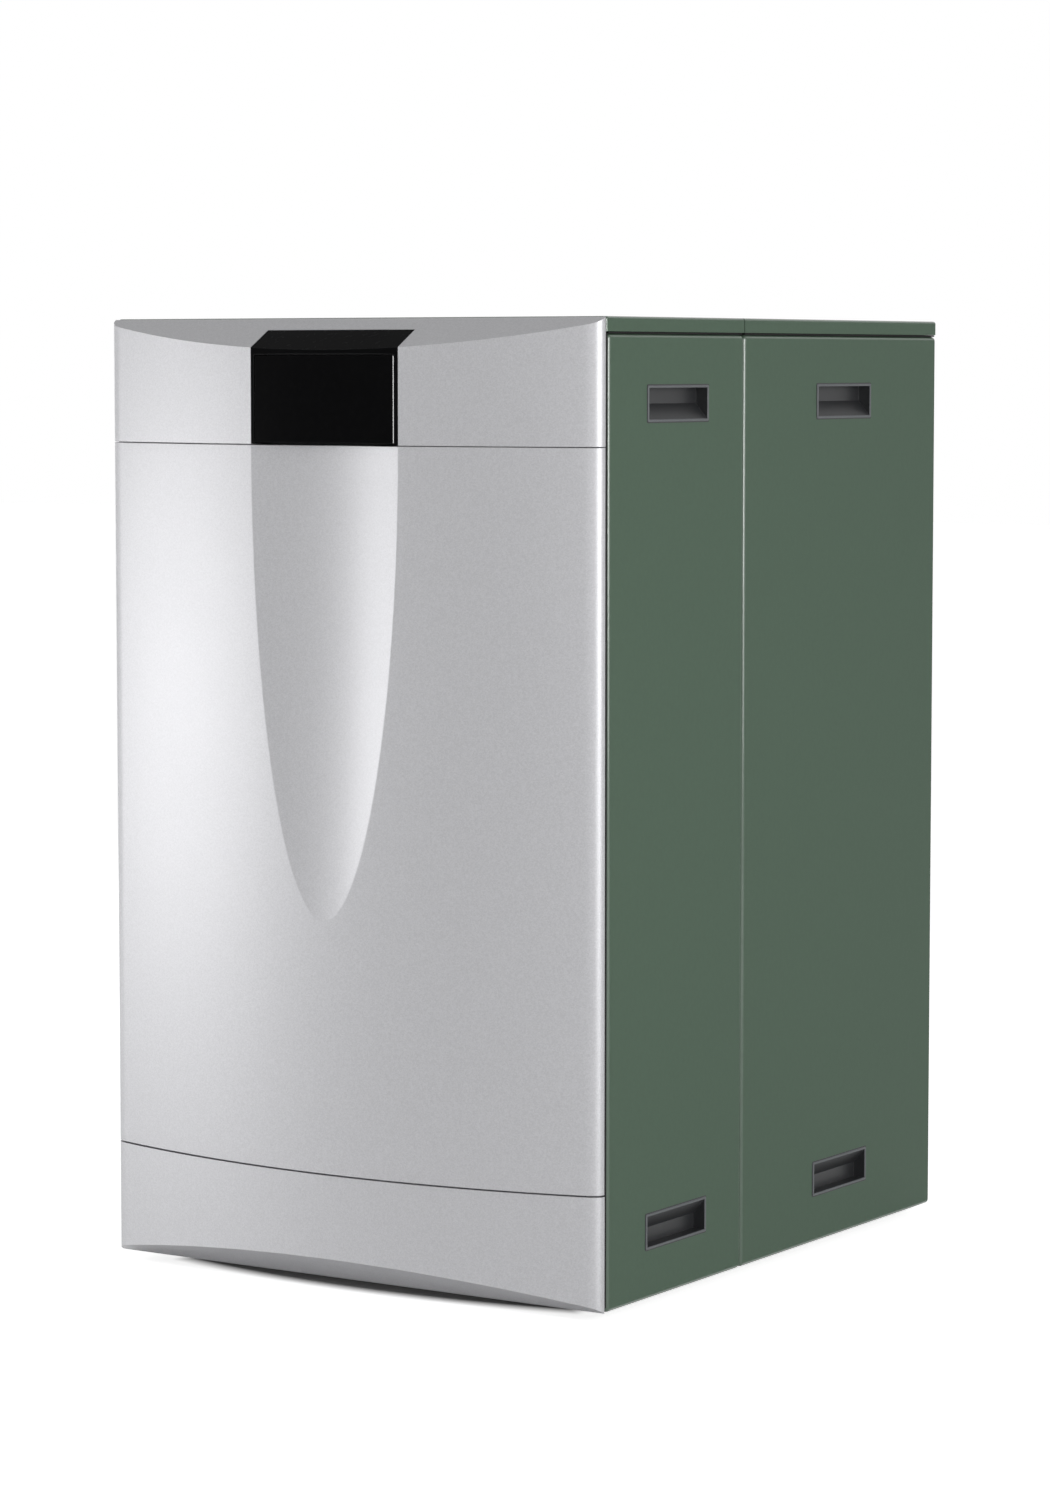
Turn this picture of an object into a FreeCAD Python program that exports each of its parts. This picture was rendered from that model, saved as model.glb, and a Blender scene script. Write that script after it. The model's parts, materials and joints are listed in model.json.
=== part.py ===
import FreeCAD, Part
import math
import os

# Floor-standing condensing boiler. Millimetres, +Z up, front towards -Y, right side towards +X.
# Built with y = 0 on the cabinet's front plane and z = 0 on the floor, then moved so that the
# origin is the middle of the footprint.

# Cabinet
CAB_W = 610.0
CAB_D = 705.0
CAB_H = 1000.0
FRONT_SECTION = 274.0
FLOOR_GAP = 10.0
SHEET = 1.5
SECTION_GAP = 1.5
LID_FLANGE = 15.0
LID_GAP = 2.0
LID_FRONT_GAP = 1.0
RIM_GAP = 5.0
PANEL_RETURN = 15.0
BEND_R = 3.0

# Front shell in three panels
FRONT_WALL = 3.0
FRONT_BOW = 46.0
FRONT_SIDE = 10.5
FRONT_CORNER_R = 12.0
CHAMFER_DEG = 30.0
UPPER_PANEL_H = 129.5
LOWER_PANEL_H = 120.5
FRONT_SEAM = 1.5
FRONT_LIP = 24.0
RIM_T = 2.0
RIM_LIP = 20.0

# Scoop in the door
SCOOP_HALF_W = 91.0
SCOOP_H = 487.0
SCOOP_DEPTH = 17.5

# Console
CONSOLE_HALF_W = 91.0
CONSOLE_GAP = 0.5
CONSOLE_BACK = 22.0
CHEEK_T = 4.0
HOOD_T = 3.0
HOOD_LIP_T = 2.4
EAR_T = 2.5
EAR_W = 15.0
CONSOLE_SHELF = 22.0
FLAP_GAP = 0.5
FLAP_T = 3.0
FLAP_LOWER_GAP = 1.5
HINGE_BEHIND_FACE = 9.5
HINGE_UNDER_HOOD = 13.4
HINGE_PIN_R = 2.0
TURN_GAP = 0.3
FLAP_ABOVE_HINGE = 5.6
FLAP_GRIP_W = 120.0
FLAP_GRIP_D = 4.0
FLAP_ARM_W = 6.5
FLAP_ARM_R = 4.0
FASCIA_DEPTH = 27.0
FASCIA_T = 3.0
FASCIA_LEDGE = 9.0
DISPLAY_W = 74.0
DISPLAY_H = 44.0
DISPLAY_X = -28.0
DISPLAY_T = 4.0
KEY_R = 6.0
KEY_PITCH = 17.0
KEY_X = 26.0
KEY_PROUD = 4.0
KEY_COLLAR = 1.5
KEY_COLLAR_T = 1.2
ROCKER_X = 58.0
ROCKER_W = 14.0
ROCKER_H = 22.0
ROCKER_PIN_R = 0.8
ROCKER_GAP = 0.5
ROCKER_PROUD = 5.0
ROCKER_DISH = 2.0
ROCKER_BACK = 4.0
ROCKER_TILT = 8.0
MODULE_D = 46.0
PLUG_D = 9.0
PLUG_H = 18.0
PLUG_UP = 8.0

# Pocket handles
HANDLE_L = 123.0
HANDLE_H = 39.0
HANDLE_RIM = 3.5
HANDLE_WALL = 1.8
HANDLE_PROUD = 1.2
HANDLE_DEPTH = 15.0
HANDLE_FROM_END = 70.0
HANDLE_CORNER_R = 2.0
HANDLE_FIT = 0.3

# Frame
TUBE = 30.0
TUBE_WALL = 2.0
BASE_Z = 22.0
BASE_H = 30.0
HEADER_H = 40.0
LUG_L = 10.0
LUG_W = 10.0
FOOT_IN_X = 80.0
FOOT_IN_Y = 75.0
FOOT_PAD_R = 20.0
FOOT_PAD_H = 6.0
FOOT_PAD_EDGE = 2.0
FOOT_STUD_R = 5.0
FOOT_BOSS_R = 11.0
GUSSET_T = 5.0
STUD_R = 5.0
STUD_L = 12.0
STUD_FROM_END = 60.0
SOCKET_WALL = 2.5

# Boiler body
DRUM_SIDE_GAP = 95.0
DRUM_REAR_GAP = 305.0
DRUM_HEADROOM = 318.0
DRUM_WALL = 4.0
WATER_JACKET = 75.0
CHAMBER_H = 270.0
SMOKE_TUBE_R = 13.0
SMOKE_TUBE_WALL = 1.5
SMOKE_RING_INSET = 32.0
SMOKE_COUNT = 12
JACKET_T = 22.0
JACKET_GAP = 0.3
SUMP_H = 90.0
SUMP_WALL = 3.0
PLATE_OVERLAP = 30.0
PLATE_T = 12.0
NUT_COUNT = 8
NUT_AF = 13.0
NUT_H = 8.0
BURNER_R = 45.0
BURNER_H = 180.0
BURNER_WALL = 1.5
BURNER_FLANGE = 12.0
ELECTRODE_R = 6.0
ELECTRODE_INSET = 20.0
ELECTRODE_UP = 40.0
ELECTRODE_DOWN = 45.0
VENT_NECK = 10.0
VENT_TAPER = 4.0
VENT_BODY = 32.0
VENT_TIP = 8.0
SENSOR_DEGS = [45.0, 135.0]
TAP_R = 10.0
TAP_INSET = 95.0
TAP_UP = 45.0
TAP_GAP = 12.0
TAP_BODY_L = 50.0
TAP_BODY_R = 15.0

# Fan, mixer and gas train
FAN_R = 92.0
FAN_W = 70.0
FAN_WALL = 3.0
FAN_ABOVE_PLATE = 118.0
FAN_OUTLET = 50.0
FAN_GROWTH = 9.0
IMPELLER_R = 78.0
IMPELLER_W = 40.0
BLADE_COUNT = 10
BLADE_T = 2.0
BLADE_SWEEP = 38.0
SHAFT_R = 4.0
MOTOR_R = 44.0
MOTOR_L = 56.0
MOTOR_EDGE = 8.0
SHAFT_END_GAP = 2.0
MIXER_R = 42.0
MIXER_THROAT_R = 28.0
MIXER_L = 75.0
MIXER_WALL = 3.0
DUCT_R = 40.0
DUCT_WALL = 2.5
DUCT_BEND = 70.0
DUCT_STRAIGHT = 10.0
GAS_PIPE_R = 10.65
GAS_WALL = 2.3
GAS_THREAD_R = 10.48
GAS_THREAD_L = 18.0
GAS_SIDE_GAP = 22.0
GAS_BEND = 40.0
VALVE_W = 70.0
VALVE_H = 56.0
VALVE_ABOVE_PLATE = 14.0
COCK_L = 60.0
COCK_R = 17.0
COCK_HEX = 3.0
COCK_NECK = 6.0
COCK_STEM_GAP = 2.0
LEVER_L = 72.0
LEVER_W = 14.0
LEVER_T = 4.0
LEVER_HUB = 1.5
IGNITION_W = 70.0
IGNITION_H = 44.0
IGNITION_OVER = 8.0
IGNITION_EDGE = 5.0
LEAD_R = 3.5
LEAD_BEND = 25.0

# Rear connections
STUB_L = 40.0
WATER_R = 16.85
WATER_WALL = 3.2
WATER_THREAD_R = 16.62
WATER_THREAD_L = 25.0
WATER_INSET = 75.0
SUPPLY_DOWN = 60.0
RETURN_UP = 60.0
FLUE_BORE_R = 40.2
FLUE_WALL = 2.0
FLUE_SOCKET_L = 45.0
FLUE_IN = 12.0
DRAIN_R = 8.0
DRAIN_WALL = 1.5
SPIGOT_R = 7.75
SPIGOT_L = 30.0
HOLE_GAP = 1.0
TRAP_R = 28.0
TRAP_H = 118.0
TRAP_SIDE_GAP = 25.0
TRAP_Y = 215.0
TRAP_CAP_H = 22.0
TRAP_CAP_OVER = 4.0

# Values that follow from the sizes above
HALF_W = CAB_W / 2
Z_LOW = FLOOR_GAP
Z_TOP = FLOOR_GAP + CAB_H
PANEL_TOP = Z_TOP - LID_FLANGE - LID_GAP
FRAME_X = HALF_W - PANEL_RETURN
FRAME_TOP = Z_TOP - SHEET
BASE_TOP = BASE_Z + BASE_H
UPPER_SEAM = Z_TOP - UPPER_PANEL_H
LOWER_SEAM = Z_LOW + LOWER_PANEL_H
APEX_Y = -(FRONT_SIDE + FRONT_BOW)
BOW_R = (HALF_W ** 2 + FRONT_BOW ** 2) / (2 * FRONT_BOW)
BOW_Y = APEX_Y + BOW_R
CHAMFER_TAN = math.tan(math.radians(CHAMFER_DEG))
CHAMFER_COS = math.cos(math.radians(CHAMFER_DEG))
REAR_Y = CAB_D + STUB_L
MID_Y = (APEX_Y + REAR_Y) / 2
SUMP_Z = BASE_TOP
DRUM_Z = SUMP_Z + SUMP_H
DRUM_TOP = Z_TOP - DRUM_HEADROOM
DRUM_H = DRUM_TOP - DRUM_Z
DRUM_R = FRAME_X - DRUM_SIDE_GAP
DRUM_Y = CAB_D - DRUM_REAR_GAP
CHAMBER_R = DRUM_R - WATER_JACKET
SMOKE_RING_R = CHAMBER_R - SMOKE_RING_INSET
PLATE_R = CHAMBER_R + PLATE_OVERLAP
NUT_RING_R = PLATE_R - NUT_AF
ELECTRODE_X = CHAMBER_R - ELECTRODE_INSET
WATER_X = DRUM_R - WATER_INSET
TRAP_X = FRAME_X - TUBE - TRAP_SIDE_GAP
GAS_X = TUBE + GAS_SIDE_GAP - FRAME_X
PLATE_TOP = DRUM_TOP + PLATE_T
FAN_Y = DRUM_Y - FAN_R + FAN_OUTLET / 2
FAN_Z = PLATE_TOP + FAN_ABOVE_PLATE


def vec(x, y, z):
    return FreeCAD.Vector(x, y, z)


X_AXIS = vec(1, 0, 0)
Y_AXIS = vec(0, 1, 0)
Z_AXIS = vec(0, 0, 1)


def block(x0, x1, y0, y1, z0, z1):
    """Box between two corners."""
    return Part.makeBox(x1 - x0, y1 - y0, z1 - z0, vec(x0, y0, z0))


def rod(base, axis, radius, length):
    """Solid cylinder from a base point along an axis."""
    return Part.makeCylinder(radius, length, base, axis)


def tube(base, axis, radius, wall, length):
    """Open pipe from a base point along an axis."""
    return rod(base, axis, radius, length).cut(rod(base, axis, radius - wall, length))


def prism(points, push):
    """Straight extrusion of a closed polygon."""
    return Part.Face(Part.makePolygon(points + [points[0]])).extrude(push)


def hexagon(centre, axis, across_flats, height):
    """Hexagonal prism standing on a plane square to X, Y or Z."""
    radius = across_flats / math.sqrt(3)
    first = vec(axis.y, axis.z, axis.x)
    second = axis.cross(first)
    points = []
    for i in range(6):
        turn = math.radians(60 * i)
        points.append(centre + first * (radius * math.cos(turn)) + second * (radius * math.sin(turn)))
    return prism(points, axis * height)


def fuse(shapes):
    """One solid out of touching shapes."""
    return shapes[0].multiFuse(shapes[1:]).removeSplitter()


def mirrored(shape):
    """The same shape on the other side of the cabinet."""
    return shape.mirror(vec(0, 0, 0), X_AXIS)


def rounded_box(x0, x1, y0, y1, z0, z1, radius):
    """Box whose four edges along X are rounded."""
    shape = block(x0, x1, y0, y1, z0, z1)
    edges = [e for e in shape.Edges if abs(e.tangentAt(e.FirstParameter).x) > 0.99]
    return shape.makeFillet(radius, edges)


def spun(points, base, axis_dir):
    """Solid turned about an axis through a base point; points are (radius, height) pairs."""
    side = vec(axis_dir.y, axis_dir.z, axis_dir.x)
    placed = [base + side * r + axis_dir * h for r, h in points]
    face = Part.Face(Part.makePolygon(placed + [placed[0]]))
    return face.revolve(base, axis_dir, 360)


def bent_pipe(first, corner, last, bend, radius, wall):
    """Pipe with one bend: straight, arc, straight."""
    start = (first - corner).normalize()
    end = (last - corner).normalize()
    half_turn = start.getAngle(end) / 2
    reach = bend / math.tan(half_turn)
    p1 = corner + start * reach
    p2 = corner + end * reach
    middle_dir = (start + end).normalize()
    centre = corner + middle_dir * (bend / math.sin(half_turn))
    middle = centre - middle_dir * bend
    path = Part.Wire([
        Part.makeLine(first, p1),
        Part.Arc(p1, middle, p2).toShape(),
        Part.makeLine(p2, last),
    ])
    outside = path.makePipe(Part.Face(Part.Wire(Part.makeCircle(radius, first, start * -1))))
    if wall <= 0:
        return outside
    inside = path.makePipe(Part.Face(Part.Wire(Part.makeCircle(radius - wall, first, start * -1))))
    return outside.cut(inside)


def front_outline(inset, back):
    """Plan outline of the bowed front with rounded corners, moved inwards by an inset."""
    corner = FRONT_CORNER_R - inset
    bow = BOW_R - inset
    side_x = HALF_W - inset
    corner_x = side_x - corner
    corner_y = BOW_Y - math.sqrt((bow - corner) ** 2 - corner_x ** 2)
    out_x = corner_x / (bow - corner)
    out_y = (corner_y - BOW_Y) / (bow - corner)
    half_way = vec(1 + out_x, out_y, 0).normalize()
    right = [
        vec(side_x, back, 0),
        vec(side_x, corner_y, 0),
        vec(corner_x + corner * half_way.x, corner_y + corner * half_way.y, 0),
        vec(out_x * bow, BOW_Y + out_y * bow, 0),
    ]
    left = [vec(-p.x, p.y, 0) for p in right]
    return Part.Wire([
        Part.makeLine(right[0], right[1]),
        Part.Arc(right[1], right[2], right[3]).toShape(),
        Part.Arc(right[3], vec(0, BOW_Y - bow, 0), left[3]).toShape(),
        Part.Arc(left[3], left[2], left[1]).toShape(),
        Part.makeLine(left[1], left[0]),
        Part.makeLine(left[0], right[0]),
    ])


def front_volume(inset):
    """Volume behind the bowed face and between the two chamfers, moved inwards by an inset."""
    plan = Part.Face(front_outline(inset, 0.0)).extrude(Z_AXIS * (Z_TOP + FLOOR_GAP))
    drop = inset / CHAMFER_COS
    far = 2 * APEX_Y
    side = [
        vec(-CAB_W, 0, Z_LOW + drop),
        vec(-CAB_W, far, Z_LOW + drop - CHAMFER_TAN * far),
        vec(-CAB_W, far, Z_TOP - drop + CHAMFER_TAN * far),
        vec(-CAB_W, 0, Z_TOP - drop),
    ]
    return plan.common(prism(side, X_AXIS * (2 * CAB_W)))


def front_slab(z0, z1):
    """Everything in front of the cabinet between two heights."""
    return block(-CAB_W, CAB_W, 2 * APEX_Y, 0.0, z0, z1)


def front_shell(z0, z1, seam_low, seam_high):
    """One panel of the front: bowed wall, returns along the rim and a lip along each seam."""
    floor = z0 + FRONT_WALL if seam_low else z0 - FRONT_WALL
    roof = z1 - FRONT_WALL if seam_high else z1 + FRONT_WALL
    room = block(-CAB_W, CAB_W, 2 * APEX_Y, -RIM_T, floor, roof)
    shell = front_volume(0.0).common(front_slab(z0, z1)).cut(front_volume(FRONT_WALL).common(room))
    mouth_x = HALF_W - RIM_LIP
    shell = shell.cut(block(-mouth_x, mouth_x, -RIM_T, 0, z0 + RIM_LIP, z1 - RIM_LIP))
    inner_r = BOW_R - FRONT_WALL - FRONT_LIP
    if seam_low:
        window = rod(vec(0, BOW_Y, z0), Z_AXIS, inner_r, FRONT_WALL)
        shell = shell.cut(window.common(block(-CAB_W, CAB_W, APEX_Y, -RIM_T, z0, z1)))
    if seam_high:
        window = rod(vec(0, BOW_Y, z1 - FRONT_WALL), Z_AXIS, inner_r, FRONT_WALL)
        shell = shell.cut(window.common(block(-CAB_W, CAB_W, APEX_Y, -RIM_T, z0, z1)))
    return shell


def scoop(extra):
    """Barrel whose side hollows the door into a half ellipse, made larger by an extra wall."""
    face_drop = BOW_R - math.sqrt(BOW_R ** 2 - SCOOP_HALF_W ** 2)
    rise = SCOOP_DEPTH - face_drop
    top_r = (SCOOP_HALF_W ** 2 + rise ** 2) / (2 * rise)
    long_r = (SCOOP_H ** 2 + SCOOP_DEPTH ** 2) / (2 * SCOOP_DEPTH)
    axis_y = APEX_Y + SCOOP_DEPTH - top_r
    heights = [UPPER_SEAM, UPPER_SEAM - SCOOP_H * 0.6, UPPER_SEAM - SCOOP_H * 1.2]
    arc = []
    for z in heights:
        drop = long_r - math.sqrt((long_r + extra) ** 2 - (UPPER_SEAM - z) ** 2)
        arc.append(vec(0, axis_y + top_r - drop, z))
    top = vec(0, axis_y, heights[0])
    foot = vec(0, axis_y, heights[2])
    outline = Part.Wire([
        Part.makeLine(top, arc[0]),
        Part.Arc(arc[0], arc[1], arc[2]).toShape(),
        Part.makeLine(arc[2], foot),
        Part.makeLine(foot, top),
    ])
    return Part.Face(outline).revolve(top, Z_AXIS, 360)


def stud_places(heights):
    """Where the studs stand on the front posts, at the given heights, both sides."""
    x = FRAME_X - TUBE / 2
    return [vec(side * x, 0, z) for z in heights for side in (-1, 1)]


def with_sockets(shell, places):
    """Adds a hollow socket behind the face for each stud."""
    inside = front_volume(FRONT_WALL / 2)
    bore_r = STUD_R + TURN_GAP
    depth = STUD_L + 2 * TURN_GAP
    bosses = []
    bores = []
    for p in places:
        boss = rod(p + Y_AXIS * APEX_Y, Y_AXIS, bore_r + SOCKET_WALL, -APEX_Y - RIM_T)
        bosses.append(boss.common(inside))
        bores.append(rod(p - Y_AXIS * depth, Y_AXIS, bore_r, depth))
    return fuse([shell] + bosses).cut(Part.makeCompound(bores))


DOOR_LOW = LOWER_SEAM + FRONT_SEAM / 2
DOOR_HIGH = UPPER_SEAM - FRONT_SEAM / 2
UPPER_LOW = UPPER_SEAM + FRONT_SEAM / 2
LOWER_HIGH = LOWER_SEAM - FRONT_SEAM / 2
DOOR_STUDS = stud_places([DOOR_LOW + STUD_FROM_END, DOOR_HIGH - STUD_FROM_END])
LOWER_STUDS = stud_places([(Z_LOW + LOWER_HIGH) / 2])


def front_door_panel():
    """Middle panel with the scoop under the console."""
    shell = front_shell(DOOR_LOW, DOOR_HIGH, True, True)
    wall = front_volume(0.0).common(front_slab(DOOR_LOW, DOOR_HIGH)).common(scoop(FRONT_WALL))
    return with_sockets(fuse([shell, wall]).cut(scoop(0.0)), DOOR_STUDS)


def lower_front_panel():
    return with_sockets(front_shell(Z_LOW, LOWER_HIGH, False, True), LOWER_STUDS)


def upper_front_panel():
    """Top panel with the notch that holds the console."""
    edge = CONSOLE_HALF_W + CONSOLE_GAP
    notch = block(-edge, edge, 2 * APEX_Y, -CONSOLE_BACK + CONSOLE_GAP, UPPER_LOW, Z_TOP)
    passage = block(-edge, edge, -CONSOLE_BACK, 0, UPPER_LOW, Z_TOP - 2 * RIM_LIP)
    return front_shell(UPPER_LOW, Z_TOP, True, False).cut(notch).cut(passage)


def door_studs():
    """Headed studs on the front posts that the door and the lower panel push onto."""
    studs = [rod(p - Y_AXIS * STUD_L, Y_AXIS, STUD_R, STUD_L) for p in DOOR_STUDS + LOWER_STUDS]
    return Part.makeCompound(studs)


def hood_height(y):
    """Height of the hood's underside at a depth."""
    return Z_TOP - HOOD_T / CHAMFER_COS + CHAMFER_TAN * y


HINGE_Y = APEX_Y + HINGE_BEHIND_FACE
HINGE_Z = hood_height(HINGE_Y) - HINGE_UNDER_HOOD
CHEEK_X = CONSOLE_HALF_W - CHEEK_T
FASCIA_Y = -FASCIA_DEPTH
FASCIA_LOW = UPPER_LOW + HOOD_T
FASCIA_HIGH = hood_height(FASCIA_Y - FASCIA_T)
FASCIA_Z = (FASCIA_LOW + FASCIA_HIGH) / 2
KEY_HEIGHTS = [FASCIA_Z - KEY_PITCH, FASCIA_Z, FASCIA_Z + KEY_PITCH]


def flap_sweep():
    """Barrel round the hinge that the flap's upper edge stays inside while it swings."""
    arc = []
    for x in (-CHEEK_X, 0.0, CHEEK_X):
        face = HINGE_Y - BOW_Y + math.sqrt(BOW_R ** 2 - x ** 2)
        reach = math.hypot(face, FLAP_ABOVE_HINGE) + FLAP_GAP
        arc.append(vec(x, HINGE_Y - reach, HINGE_Z))
    left = vec(-CHEEK_X, HINGE_Y, HINGE_Z)
    right = vec(CHEEK_X, HINGE_Y, HINGE_Z)
    outline = Part.Wire([
        Part.makeLine(left, arc[0]),
        Part.Arc(arc[0], arc[1], arc[2]).toShape(),
        Part.makeLine(arc[2], right),
        Part.makeLine(right, left),
    ])
    return Part.Face(outline).revolve(left, X_AXIS, 360)


def hood_lip():
    """Front edge of the hood, which comes down close to the flap."""
    edge = front_volume(0.0).cut(front_volume(HOOD_LIP_T))
    low = HINGE_Z + FLAP_ABOVE_HINGE + FLAP_GAP
    return edge.common(block(-CHEEK_X, CHEEK_X, 2 * APEX_Y, HINGE_Y, low, Z_TOP)).cut(flap_sweep())


def console_bezel():
    """Black console body: two cheeks, sloping hood, shelf and the ledge that holds the fascia."""
    far = 2 * APEX_Y
    edge = CONSOLE_HALF_W
    body = front_volume(0.0).common(block(-edge, edge, far, -CONSOLE_BACK, UPPER_LOW, Z_TOP))
    shelf_y = -CONSOLE_BACK - CONSOLE_SHELF
    room = prism([
        vec(-CHEEK_X, far, 0),
        vec(-CHEEK_X, far, hood_height(far)),
        vec(-CHEEK_X, FASCIA_Y, hood_height(FASCIA_Y)),
        vec(-CHEEK_X, FASCIA_Y, FASCIA_LOW),
        vec(-CHEEK_X, shelf_y, FASCIA_LOW),
        vec(-CHEEK_X, shelf_y, 0),
    ], X_AXIS * (2 * CHEEK_X))
    window_x = CHEEK_X - FASCIA_LEDGE
    window = block(-window_x, window_x, FASCIA_Y, 0, FASCIA_LOW + FASCIA_LEDGE, FASCIA_HIGH - FASCIA_LEDGE)
    skin = front_volume(FRONT_WALL).cut(front_volume(FRONT_WALL + EAR_T))
    ear = skin.common(block(CHEEK_X, edge + EAR_W, far, -CONSOLE_BACK, FASCIA_LOW, HINGE_Z))
    body = fuse([body.cut(room).cut(window), hood_lip(), ear, mirrored(ear)])
    pivot = rod(vec(-edge, HINGE_Y, HINGE_Z), X_AXIS, HINGE_PIN_R + TURN_GAP, 2 * edge)
    return body.cut(pivot)


def display_flap():
    """Bowed cover over the fascia with a grip along its lower edge and a pin at each upper corner."""
    half = CHEEK_X - FLAP_GAP
    low = UPPER_LOW + FLAP_LOWER_GAP
    high = HINGE_Z + FLAP_ABOVE_HINGE
    far = 2 * APEX_Y
    skin = front_volume(0.0).cut(front_volume(FLAP_T))
    parts = [skin.common(block(-half, half, far, -CONSOLE_BACK, low, high))]
    grip = front_volume(FLAP_T / 2).cut(front_volume(FLAP_T + FLAP_GRIP_D))
    grip_x = FLAP_GRIP_W / 2
    parts.append(grip.common(block(-grip_x, grip_x, far, -CONSOLE_BACK, low, low + FLAP_T)))
    for side in (-1, 1):
        x = side * (half - FLAP_ARM_W / 2)
        arm = block(x - FLAP_ARM_W / 2, x + FLAP_ARM_W / 2, far, HINGE_Y, HINGE_Z - FLAP_ARM_R, high)
        parts.append(arm.common(front_volume(FLAP_T / 2)))
        parts.append(rod(vec(x - FLAP_ARM_W / 2, HINGE_Y, HINGE_Z), X_AXIS, FLAP_ARM_R, FLAP_ARM_W))
        pin_end = side * (CONSOLE_HALF_W - TURN_GAP)
        pin_start = min(x, pin_end)
        parts.append(rod(vec(pin_start, HINGE_Y, HINGE_Z), X_AXIS, HINGE_PIN_R, abs(pin_end - x)))
    return fuse(parts)


def control_fascia():
    """Plate behind the flap with openings for the display, the keys and the rocker."""
    front = FASCIA_Y - FASCIA_T
    plate = block(-CHEEK_X, CHEEK_X, front, FASCIA_Y, FASCIA_LOW, FASCIA_HIGH)
    dx = DISPLAY_W / 2
    dz = DISPLAY_H / 2
    plate = plate.cut(block(DISPLAY_X - dx, DISPLAY_X + dx, front, FASCIA_Y, FASCIA_Z - dz, FASCIA_Z + dz))
    for z in KEY_HEIGHTS:
        plate = plate.cut(rod(vec(KEY_X, front, z), Y_AXIS, KEY_R + TURN_GAP, FASCIA_T))
    rx = ROCKER_W / 2 + TURN_GAP
    rz = ROCKER_H / 2
    plate = plate.cut(block(ROCKER_X - rx, ROCKER_X + rx, front, FASCIA_Y, FASCIA_Z - rz, FASCIA_Z + rz))
    reach = rx + 2 * ROCKER_PIN_R
    pivot = vec(ROCKER_X - reach, FASCIA_Y - FASCIA_T / 2, FASCIA_Z)
    return plate.cut(rod(pivot, X_AXIS, ROCKER_PIN_R + TURN_GAP, 2 * reach))


def display_window():
    """Clear pane in the fascia, standing slightly proud."""
    dx = DISPLAY_W / 2
    dz = DISPLAY_H / 2
    low = FASCIA_Z - dz
    return block(DISPLAY_X - dx, DISPLAY_X + dx, FASCIA_Y - DISPLAY_T, FASCIA_Y, low, low + DISPLAY_H)


def key(z):
    """Round push key with a collar behind the fascia."""
    stem = rod(vec(KEY_X, FASCIA_Y - FASCIA_T - KEY_PROUD, z), Y_AXIS, KEY_R,
               KEY_PROUD + FASCIA_T + TURN_GAP + KEY_COLLAR_T)
    collar = rod(vec(KEY_X, FASCIA_Y + TURN_GAP, z), Y_AXIS, KEY_R + KEY_COLLAR, KEY_COLLAR_T)
    return fuse([stem, collar])


def power_rocker():
    """Rocker with a shallow V face, resting tipped to one side."""
    y = FASCIA_Y - FASCIA_T / 2
    half = ROCKER_H / 2 - ROCKER_GAP
    face = y - ROCKER_PROUD
    x0 = ROCKER_X - ROCKER_W / 2
    body = prism([
        vec(x0, face, FASCIA_Z + half),
        vec(x0, face + ROCKER_DISH, FASCIA_Z),
        vec(x0, face, FASCIA_Z - half),
        vec(x0, y + ROCKER_BACK, FASCIA_Z - half * 0.6),
        vec(x0, y + ROCKER_BACK, FASCIA_Z + half * 0.6),
    ], X_AXIS * ROCKER_W)
    reach = ROCKER_W / 2 + TURN_GAP + ROCKER_PIN_R
    pin = rod(vec(ROCKER_X - reach, y, FASCIA_Z), X_AXIS, ROCKER_PIN_R, 2 * reach)
    rocker = fuse([body, pin])
    rocker.rotate(vec(ROCKER_X, y, FASCIA_Z), X_AXIS, -ROCKER_TILT)
    return rocker


def control_module():
    """Electronics box behind the console with plug sockets on its back."""
    half = CHEEK_X - FASCIA_LEDGE / 2
    low = FASCIA_LOW + FASCIA_LEDGE / 2
    high = FRAME_TOP - HEADER_H - CONSOLE_GAP
    box = block(-half, half, -CONSOLE_BACK, -CONSOLE_BACK + MODULE_D, low, high)
    parts = [box]
    plug_w = half / 3
    y = MODULE_D - CONSOLE_BACK
    z = low + PLUG_UP
    for i in (-1, 0, 1):
        x = i * half * 0.6
        parts.append(block(x - plug_w / 2, x + plug_w / 2, y, y + PLUG_D, z, z + PLUG_H))
    return fuse(parts)


HANDLE_IN_L = HANDLE_L / 2 - HANDLE_RIM
HANDLE_IN_H = HANDLE_H / 2 - HANDLE_RIM
HANDLE_LOW_Z = Z_LOW + HANDLE_FROM_END
HANDLE_HIGH_Z = PANEL_TOP - HANDLE_FROM_END
FRONT_PANEL_Y = [RIM_GAP, FRONT_SECTION - SECTION_GAP / 2]
REAR_PANEL_Y = [FRONT_SECTION + SECTION_GAP / 2, CAB_D]


def side_panel(y_range):
    """Right-hand tray of folded sheet with two cut-outs for the pocket handles."""
    y0, y1 = y_range
    tray = block(FRAME_X, HALF_W, y0, y1, Z_LOW, PANEL_TOP)
    outer = [e for e in tray.Edges if e.BoundBox.XMin > HALF_W - 0.1]
    tray = tray.makeFillet(BEND_R, outer)
    tray = tray.cut(block(0, HALF_W - SHEET, y0 + SHEET, y1 - SHEET, Z_LOW + SHEET, PANEL_TOP - SHEET))
    y = (y0 + y1) / 2
    half_l = HANDLE_IN_L + HANDLE_WALL + HANDLE_FIT
    half_h = HANDLE_IN_H + HANDLE_WALL + HANDLE_FIT
    for z in (HANDLE_LOW_Z, HANDLE_HIGH_Z):
        tray = tray.cut(block(FRAME_X, HALF_W, y - half_l, y + half_l, z - half_h, z + half_h))
    return tray


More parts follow.
